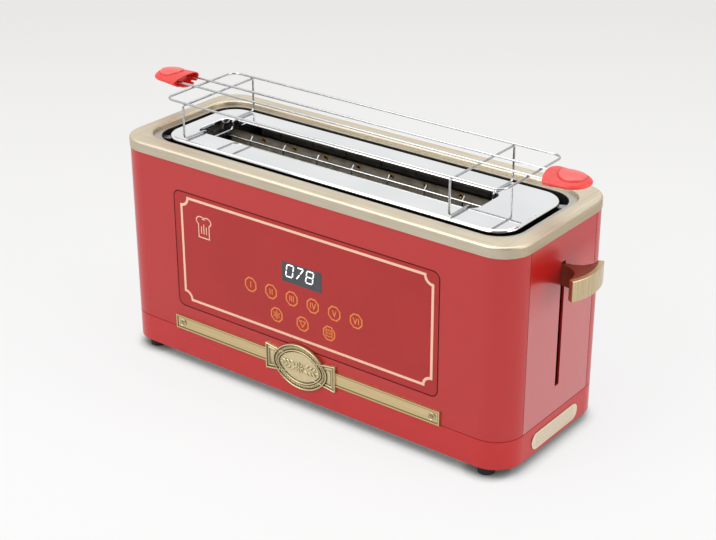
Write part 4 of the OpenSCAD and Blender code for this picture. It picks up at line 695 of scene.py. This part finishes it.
# the oval's profile from its edge: distance inwards, height
OVAL_RINGS = (
    (0, 0.0), (0, 2.8), (0.12, 3.15), (0.35, 3.36), (0.6, 3.42), (0.85, 3.36), (1.1, 3.1), (1.3, 2.2),
    (1.55, 1.8), (1.8, 2.2), (1.95, 2.5), (4.1, 2.5), (4.25, 2.2), (4.5, 1.8), (4.75, 2.3), (4.9, 2.9),
    (5.1, 3.12), (5.4, 3.2), (5.7, 3.12), (5.9, 2.7), (6.1, 2.1), (6.35, 1.8), (6.6, 2.2), (6.8, 2.5),
)
FIELD_H, DOME_H, DOME_SHRINK, DOME_STEPS = 2.5, 0.5, (0.94, 0.03), 14
WING_X, WING_ROOT_X, WING_HALF, WING_ROOT, WING_LINES = 35.0, 13.0, 11.5, 8.0, 6
# the wings' profile from their free edges: distance inwards, height
WING_STEPS = (
    (0, 0.0), (0, 2.2), (0.12, 2.55), (0.35, 2.76), (0.6, 2.82), (0.85, 2.76), (1.1, 2.5), (1.25, 1.7),
    (1.45, 1.4), (1.65, 1.8), (1.8, 2.0), (2.5, 2.0), (2.7, 2.3), (3.0, 2.45), (3.3, 2.45), (3.55, 2.2),
    (3.75, 1.6), (3.95, 1.4), (4.15, 1.7), (4.4, 2.0),
)
# length, width and height of each kind of seed, the level that it lies on, and its place
PEARL, PEARL_LEVEL, PEARL_IN, PEARL_EVERY = (1.5, 1.5, 0.6), 2.45, 3.05, 4
PETAL, PETALS, PETAL_R, FLOWER_LEVEL = (3.8, 2.1, 0.9), 8, 2.9, 2.9
HEART = (3.0, 3.0, 1.2)
LEAF, LEAF_LEVEL, LEAF_X, LEAF_Z = (6.6, 2.9, 1.0), 2.65, (7.0, 10.9, 14.4), 2.7
LEAF_TURN, LEAF_SHRINK = 0.55, 0.12
BUD, BUD_LEVEL, BUD_X = (4.6, 1.9, 0.9), 2.5, LEAF_X[-1] + 3.2
WING_PEARL, WING_PEARL_LEVEL, WING_PEARL_IN = (1.0, 1.0, 0.45), 1.95, 2.0
WING_PEARL_Z = np.linspace(-9.0, 9.0, 13)
# steps of latitude and longitude, and the latitude in radians at which a seed has its small top face
SEED_STEPS, SEED_TOP = (5, 12), 1.5


def on_plate(x, z, height):
    """Points on the front of the body: along it, up it, and a height out of it."""
    return np.stack([MID_X + x, CAST_BACK - height, CAST_Z + z], -1)


def oval_line(inwards):
    """A four-arc oval moved inwards: flat arcs above and below, round ends where the arcs touch."""
    r, e = OVAL_END_R, OVAL_A - OVAL_END_R
    rise = OVAL_B - r
    c = (e * e - rise * rise) / (2 * rise)
    meet = math.atan2(e, c)
    flat = np.linspace(0, meet, OVAL_STEPS[0], False)
    end = np.linspace(np.pi / 2 - meet, 0, OVAL_STEPS[1], False)
    big, small = OVAL_B + c - inwards, r - inwards
    quarter = np.concatenate([np.column_stack([big * np.sin(flat), big * np.cos(flat) - c]),
                              np.column_stack([e + small * np.cos(end), small * np.sin(end)])])
    half = np.concatenate([quarter, [[OVAL_A - inwards, 0]], quarter[:0:-1] * [1, -1]])
    return np.concatenate([half, -half])


def oval_plate():
    """Oval rings stepping inwards over a rim, a sunk band and a second rim, then shrinking over a dome."""
    inwards, height = np.array(OVAL_RINGS).T
    shrink = np.linspace(*DOME_SHRINK, DOME_STEPS)
    field = oval_line(inwards[-1])
    lines = np.array([oval_line(d) for d in inwards] + [field * t for t in shrink])
    height = np.concatenate([height, FIELD_H + DOME_H * (1 - shrink * shrink)])
    x, z = lines[..., 0], lines[..., 1]
    return skin(on_plate(x, z, np.broadcast_to(height[:, None], x.shape)))


def wing(side):
    """A flared plate: lines at set distances from its three free edges, each at the height of its step."""
    inwards, step_height = np.array(WING_STEPS).T
    n = len(inwards)
    plain = np.linspace(inwards[-1], WING_X - WING_ROOT_X, WING_LINES)[1:]
    x = WING_X - np.concatenate([inwards, plain])
    half = WING_ROOT + (WING_HALF - WING_ROOT) * (x - WING_ROOT_X) / (WING_X - WING_ROOT_X)
    z = np.concatenate([half[:, None] - inwards, inwards[::-1] - half[:, None]], 1)
    lengthwise = np.minimum(np.arange(len(x)), n - 1)
    across = np.concatenate([np.arange(n), np.arange(n)[::-1]])
    height = step_height[np.minimum(lengthwise[:, None], across)]
    return skin(on_plate(np.broadcast_to(side * x[:, None], z.shape), z, height), "sheet")


def seed(x, z, size, level, turn=0.0):
    """Half an ellipsoid lying on the plate at a level: latitude and longitude grid, turned in its plane."""
    length, width, height = size
    lat, lon = np.meshgrid(np.linspace(0, SEED_TOP, SEED_STEPS[0]), circle(SEED_STEPS[1]), indexing="ij")
    along, across = length / 2 * np.cos(lat) * np.cos(lon), width / 2 * np.cos(lat) * np.sin(lon)
    c, s = math.cos(turn), math.sin(turn)
    px, pz = x + c * along - s * across, z + s * along + c * across
    return skin(on_plate(px, pz, level + height * np.sin(lat)))


cast = [oval_plate(), wing(1), wing(-1)]
cast += [seed(x, z, PEARL, PEARL_LEVEL) for x, z in oval_line(PEARL_IN)[::PEARL_EVERY]]
for a in circle(PETALS):
    cast.append(seed(PETAL_R * math.cos(a), PETAL_R * math.sin(a), PETAL, FLOWER_LEVEL, a))
cast.append(seed(0.0, 0.0, HEART, FLOWER_LEVEL))
for side in (1, -1):
    for i, x in enumerate(LEAF_X):
        share = 1.0 - LEAF_SHRINK * i
        leaf = (LEAF[0] * share, LEAF[1] * share, LEAF[2])
        for up in (1, -1):
            turn = up * LEAF_TURN if side > 0 else math.pi - up * LEAF_TURN
            cast.append(seed(side * x, up * LEAF_Z * share, leaf, LEAF_LEVEL, turn))
    cast.append(seed(side * BUD_X, 0.0, BUD, BUD_LEVEL))
    wing_x = side * (WING_X - WING_PEARL_IN)
    cast += [seed(wing_x, z, WING_PEARL, WING_PEARL_LEVEL) for z in WING_PEARL_Z]
made = piece("cartouche_casting", cast, cast_brass, "body", True)
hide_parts("cartouche")

# the pins are discs with a rim, radius and height from the outside in, and a small flower each
PIN_STEPS = (
    (3.4, 1.1), (3.4, 1.9), (3.2, 2.15), (2.9, 2.25), (2.6, 2.15), (2.4, 1.85), (2.2, 1.7), (0.1, 1.7),
)
PIN_AROUND = 32
PIN_PETAL, PIN_PETALS, PIN_PETAL_R, PIN_LEVEL = (1.7, 0.9, 0.5), 6, 1.2, 1.65
pin_low, pin_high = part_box("rosette_pins")
PIN_X = 500.0 * (pin_high.x - pin_low.x) - PIN_STEPS[0][0]
radius, height = np.array(PIN_STEPS).T
disc_x, disc_z = (np.outer(radius, f(circle(PIN_AROUND))) for f in (np.cos, np.sin))
disc_h = np.broadcast_to(height[:, None], disc_x.shape)
pins = []
for x in (PIN_X, -PIN_X):
    pins.append(skin(on_plate(x + disc_x, disc_z, disc_h)))
    for a in circle(PIN_PETALS):
        pins.append(seed(x + PIN_PETAL_R * math.cos(a), PIN_PETAL_R * math.sin(a), PIN_PETAL, PIN_LEVEL, a))
made = piece("rosette_pins_pressed", pins, cast_brass, "body", True)
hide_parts("rosette_pins")

# Lever: a knob of dark red-brown phenolic on the carriage's steel tongue. It flares from a narrow
# neck in the slot to a bowed brass band pressed on its face.
BAND_BOW, BAND_SEAT, BAND_THICK, BAND_EDGE = 5.0, 1.4, 4.6, 0.5
BAND_STEPS, EDGE_STEPS = 49, 5

# moulded phenolic: red-brown, clouded over some millimetres, with a moderate gloss
phenolic = grained("moulded_phenolic_brown", "7c351f", "6e2c1a", (6, 6, 6), (0.28, 0.36))
coat(phenolic, "lever_knob")
# brushed brass: bright, with upright streaks
band_brass = brushed("brushed_brass_band", "d8c5a2", "b5a07b", "Z", (0.24, 0.34))


def bowed_band():
    """A rectangle with round edges carried along the arc that the band's bow and width give."""
    low, high = (1000.0 * np.array(corner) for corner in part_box("lever_band"))
    half, tall = (high[1] - low[1]) / 2, high[2] - low[2]
    bow_r = (half * half + BAND_BOW * BAND_BOW) / (2 * BAND_BOW)
    reach = math.asin(half / bow_r)
    turn = np.linspace(-reach, reach, BAND_STEPS)
    corner = np.radians(np.linspace(0, 90, EDGE_STEPS))
    a = np.concatenate([corner + np.pi / 2 * k for k in range(4)])
    side_d = np.repeat([1, -1, -1, 1], EDGE_STEPS) * (BAND_THICK / 2 - BAND_EDGE)
    side_z = np.repeat([1, 1, -1, -1], EDGE_STEPS) * (tall / 2 - BAND_EDGE)
    out = bow_r - BAND_SEAT + BAND_THICK / 2 + side_d + BAND_EDGE * np.cos(a)
    z = (low[2] + high[2]) / 2 + side_z + BAND_EDGE * np.sin(a)
    x = high[0] - bow_r + np.outer(np.cos(turn), out)
    return skin(np.stack([x, np.outer(np.sin(turn), out), np.broadcast_to(z, x.shape)], -1))


made = piece("lever_band_brushed", [bowed_band()], band_brass, "lever_carriage")
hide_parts("lever_band")

# Bun rack: a loop, two long bars and two legs of nickel-chromed wire, bent and spot-welded. Its grips are
# pebbles of coral silicone moulded over the bars, with a mouth towards the rack and a thumb pad on top.
GRIP_L, GRIP_W, GRIP_MOUTH_W, GRIP_H, GRIP_MOUTH_H = 34.0, 29.0, 31.5, 11.4, 11.8
# the tip falls off over a length by a power; its rows start at an angle and lie close over the last part
TIP_L, TIP_FALL, TIP_START, TIP_FINE = 20.0, 2.8, 0.02, 14.0
# depth, width and height of the cavity, and the roll of the lip round it
MOUTH_D, MOUTH_W, MOUTH_H, LIP = 10.0, 28.2, 9.6, 0.8
# how far the corners of the mouth and the notches for the bars draw back, and where that dies out
MOUTH_SWEEP, SWEEP_END = 3.6, 16.0
NOTCH_D, NOTCH_R, NOTCH_END = 6.0, 1.9, 14.0
SQUARENESS, UNDERCUT = 1.75, 0.42
GRIP_AROUND, TIP_STEPS, SIDE_STEPS, LIP_STEPS, MOUTH_STEPS = 160, 48, 60, 9, 8
PAD_X = GRIP_L - GRIP_W / 2
PAD_R, PAD_CENTRE_R, PAD_H, PAD_ROLL, PAD_SUNK = 10.2, 0.3, 0.8, 0.7, 0.5
PAD_AROUND, PAD_STEPS, ROLL_STEPS = 96, 24, 9
GROOVE_D, GROOVE_W, GROOVE_OFF = 0.7, 0.5, 0.3
bar_low, bar_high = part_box("rack_bars")
BAR_R = 500.0 * (bar_high.z - bar_low.z)
BAR_Y, BAR_Z = 1000.0 * bar_high.y - BAR_R, 1000.0 * bar_high.z - BAR_R
GRIP_X = 1000.0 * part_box("right_grip")[0].x - MID_X

# plated wire: duller than the plate, since the drawn surface under the chrome is not polished
rack_wire = grained("nickel_chromed_rack_wire", "bec0c2", "aeb0b2", (2.5, 2.5, 2.5), (0.14, 0.2),
                    Metallic=1.0)
coat(rack_wire, "rack_loop", "rack_bars", "rack_leg_left", "rack_leg_right")
# silicone: coral, satin, and a little light goes through it
silicone = grained("moulded_silicone_coral", "de3e38", "d63831", (6, 6, 6), (0.4, 0.48),
                   Subsurface_Weight=0.4, Subsurface_Scale=0.012, Coat_Weight=0.1, Coat_Roughness=0.3)
# the pads are the same silicone, moulded on the hard core under them, which lets no light through; their
# coral is a little lighter, a painted highlight on the grip's top
lit_pad_silicone = grained("backed_silicone_coral_lit", "de4c47", "d64640", (6, 6, 6), (0.4, 0.48),
                       Coat_Weight=0.5, Coat_Roughness=0.3)


def grip_half(x):
    """Half width and half height at x from the mouth: a round tip that eases to the mouth's size."""
    r = GRIP_W / 2
    ease = np.clip(x / PAD_X, 0, 1)
    ease = ease * ease * (3 - 2 * ease)
    width = np.where(x > PAD_X, np.sqrt(np.clip(r * r - (x - PAD_X) ** 2, 0, None)),
                     GRIP_MOUTH_W / 2 + (r - GRIP_MOUTH_W / 2) * ease)
    fall = np.clip((x - GRIP_L + TIP_L) / TIP_L, 0, 1) ** TIP_FALL
    return width, (GRIP_MOUTH_H + (GRIP_H - GRIP_MOUTH_H) * ease) / 2 * np.sqrt(1 - fall)


def grip(side):
    """Superellipse sections carried from the tip back to the mouth, round its lip and into the cavity.

    A groove is pressed round the thumb pad, the lower lip draws back in a U at each bar, and the corners
    of the mouth draw back with the square of their distance from the middle.
    """
    tip = GRIP_L - TIP_FINE * (1.0 - np.cos(np.linspace(TIP_START, np.pi / 2, TIP_STEPS)))
    outer = np.concatenate([tip, np.linspace(GRIP_L - TIP_FINE, LIP, SIDE_STEPS)[1:]])
    half, high = grip_half(outer)
    roll = np.linspace(0, np.pi, LIP_STEPS)[1:-1]
    turn = 0.5 - 0.5 * np.cos(roll)
    x = np.concatenate([outer, LIP - LIP * np.sin(roll), np.linspace(LIP, MOUTH_D, MOUTH_STEPS)])
    w, t = (np.concatenate([h, h[-1] + (m / 2 - h[-1]) * turn, np.full(MOUTH_STEPS, m / 2)])
            for h, m in ((half, MOUTH_W), (high, MOUTH_H)))
    a = circle(GRIP_AROUND)
    c, s = (np.sign(f) * np.abs(f) ** (2 / SQUARENESS) for f in (np.cos(a), np.sin(a)))
    px, py, pz = np.repeat(x[:, None], GRIP_AROUND, 1), w[:, None] * c, t[:, None] * s
    outside = (np.arange(len(x)) < len(outer))[:, None] & (pz > 0)
    from_groove = np.hypot(px - PAD_X, py) - PAD_R - GROOVE_OFF
    pz = pz - np.where(outside, GROOVE_D * np.exp(-((from_groove / GROOVE_W) ** 2)), 0)
    pz = np.where(pz < 0, pz * (1 - UNDERCUT * np.clip(px / GRIP_L, 0, 1)), pz)
    bite = NOTCH_D * np.sqrt(np.clip(1 - ((np.abs(py) - BAR_Y) / NOTCH_R) ** 2, 0, None))
    px = px + bite * np.clip(-pz, 0, 1) * np.clip(1 - px / NOTCH_END, 0, 1)
    px = px + MOUTH_SWEEP * (2 * py / GRIP_MOUTH_W) ** 2 * np.clip(1 - px / SWEEP_END, 0, 1)
    return skin(np.stack([MID_X + side * (GRIP_X + px), py, BAR_Z + pz], -1))


def thumb_pad(side):
    """A disc that follows the grip's upper face, raised by the pad height, its edge rolled down."""
    flat = PAD_R - PAD_ROLL
    r = np.concatenate([np.linspace(PAD_CENTRE_R, flat, PAD_STEPS),
                        flat + PAD_ROLL * np.sin(np.linspace(0, np.pi / 2, ROLL_STEPS)[1:])])
    edge = np.clip((r - flat) / PAD_ROLL, 0, 1)
    lift = PAD_H - (PAD_H + PAD_SUNK) * (1 - np.sqrt(1 - edge * edge))
    a = circle(PAD_AROUND)
    px, py = PAD_X + np.outer(r, np.cos(a)), np.outer(r, np.sin(a))
    half, high = grip_half(px)
    top = high * np.clip(1 - (np.abs(py) / half) ** SQUARENESS, 0, None) ** (1 / SQUARENESS)
    return skin(np.stack([MID_X + side * (GRIP_X + px), py, BAR_Z + top + lift[:, None]], -1))


for name, side in (("left_grip", -1), ("right_grip", 1)):
    made = piece(name + "_silicone", [grip(side)], silicone, "rack", True)
    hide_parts(name)
    piece(name + "_pad", [thumb_pad(side)], lit_pad_silicone, "rack", True)

size = [[list(corner) for corner in cad_box], [list(corner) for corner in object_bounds()]]
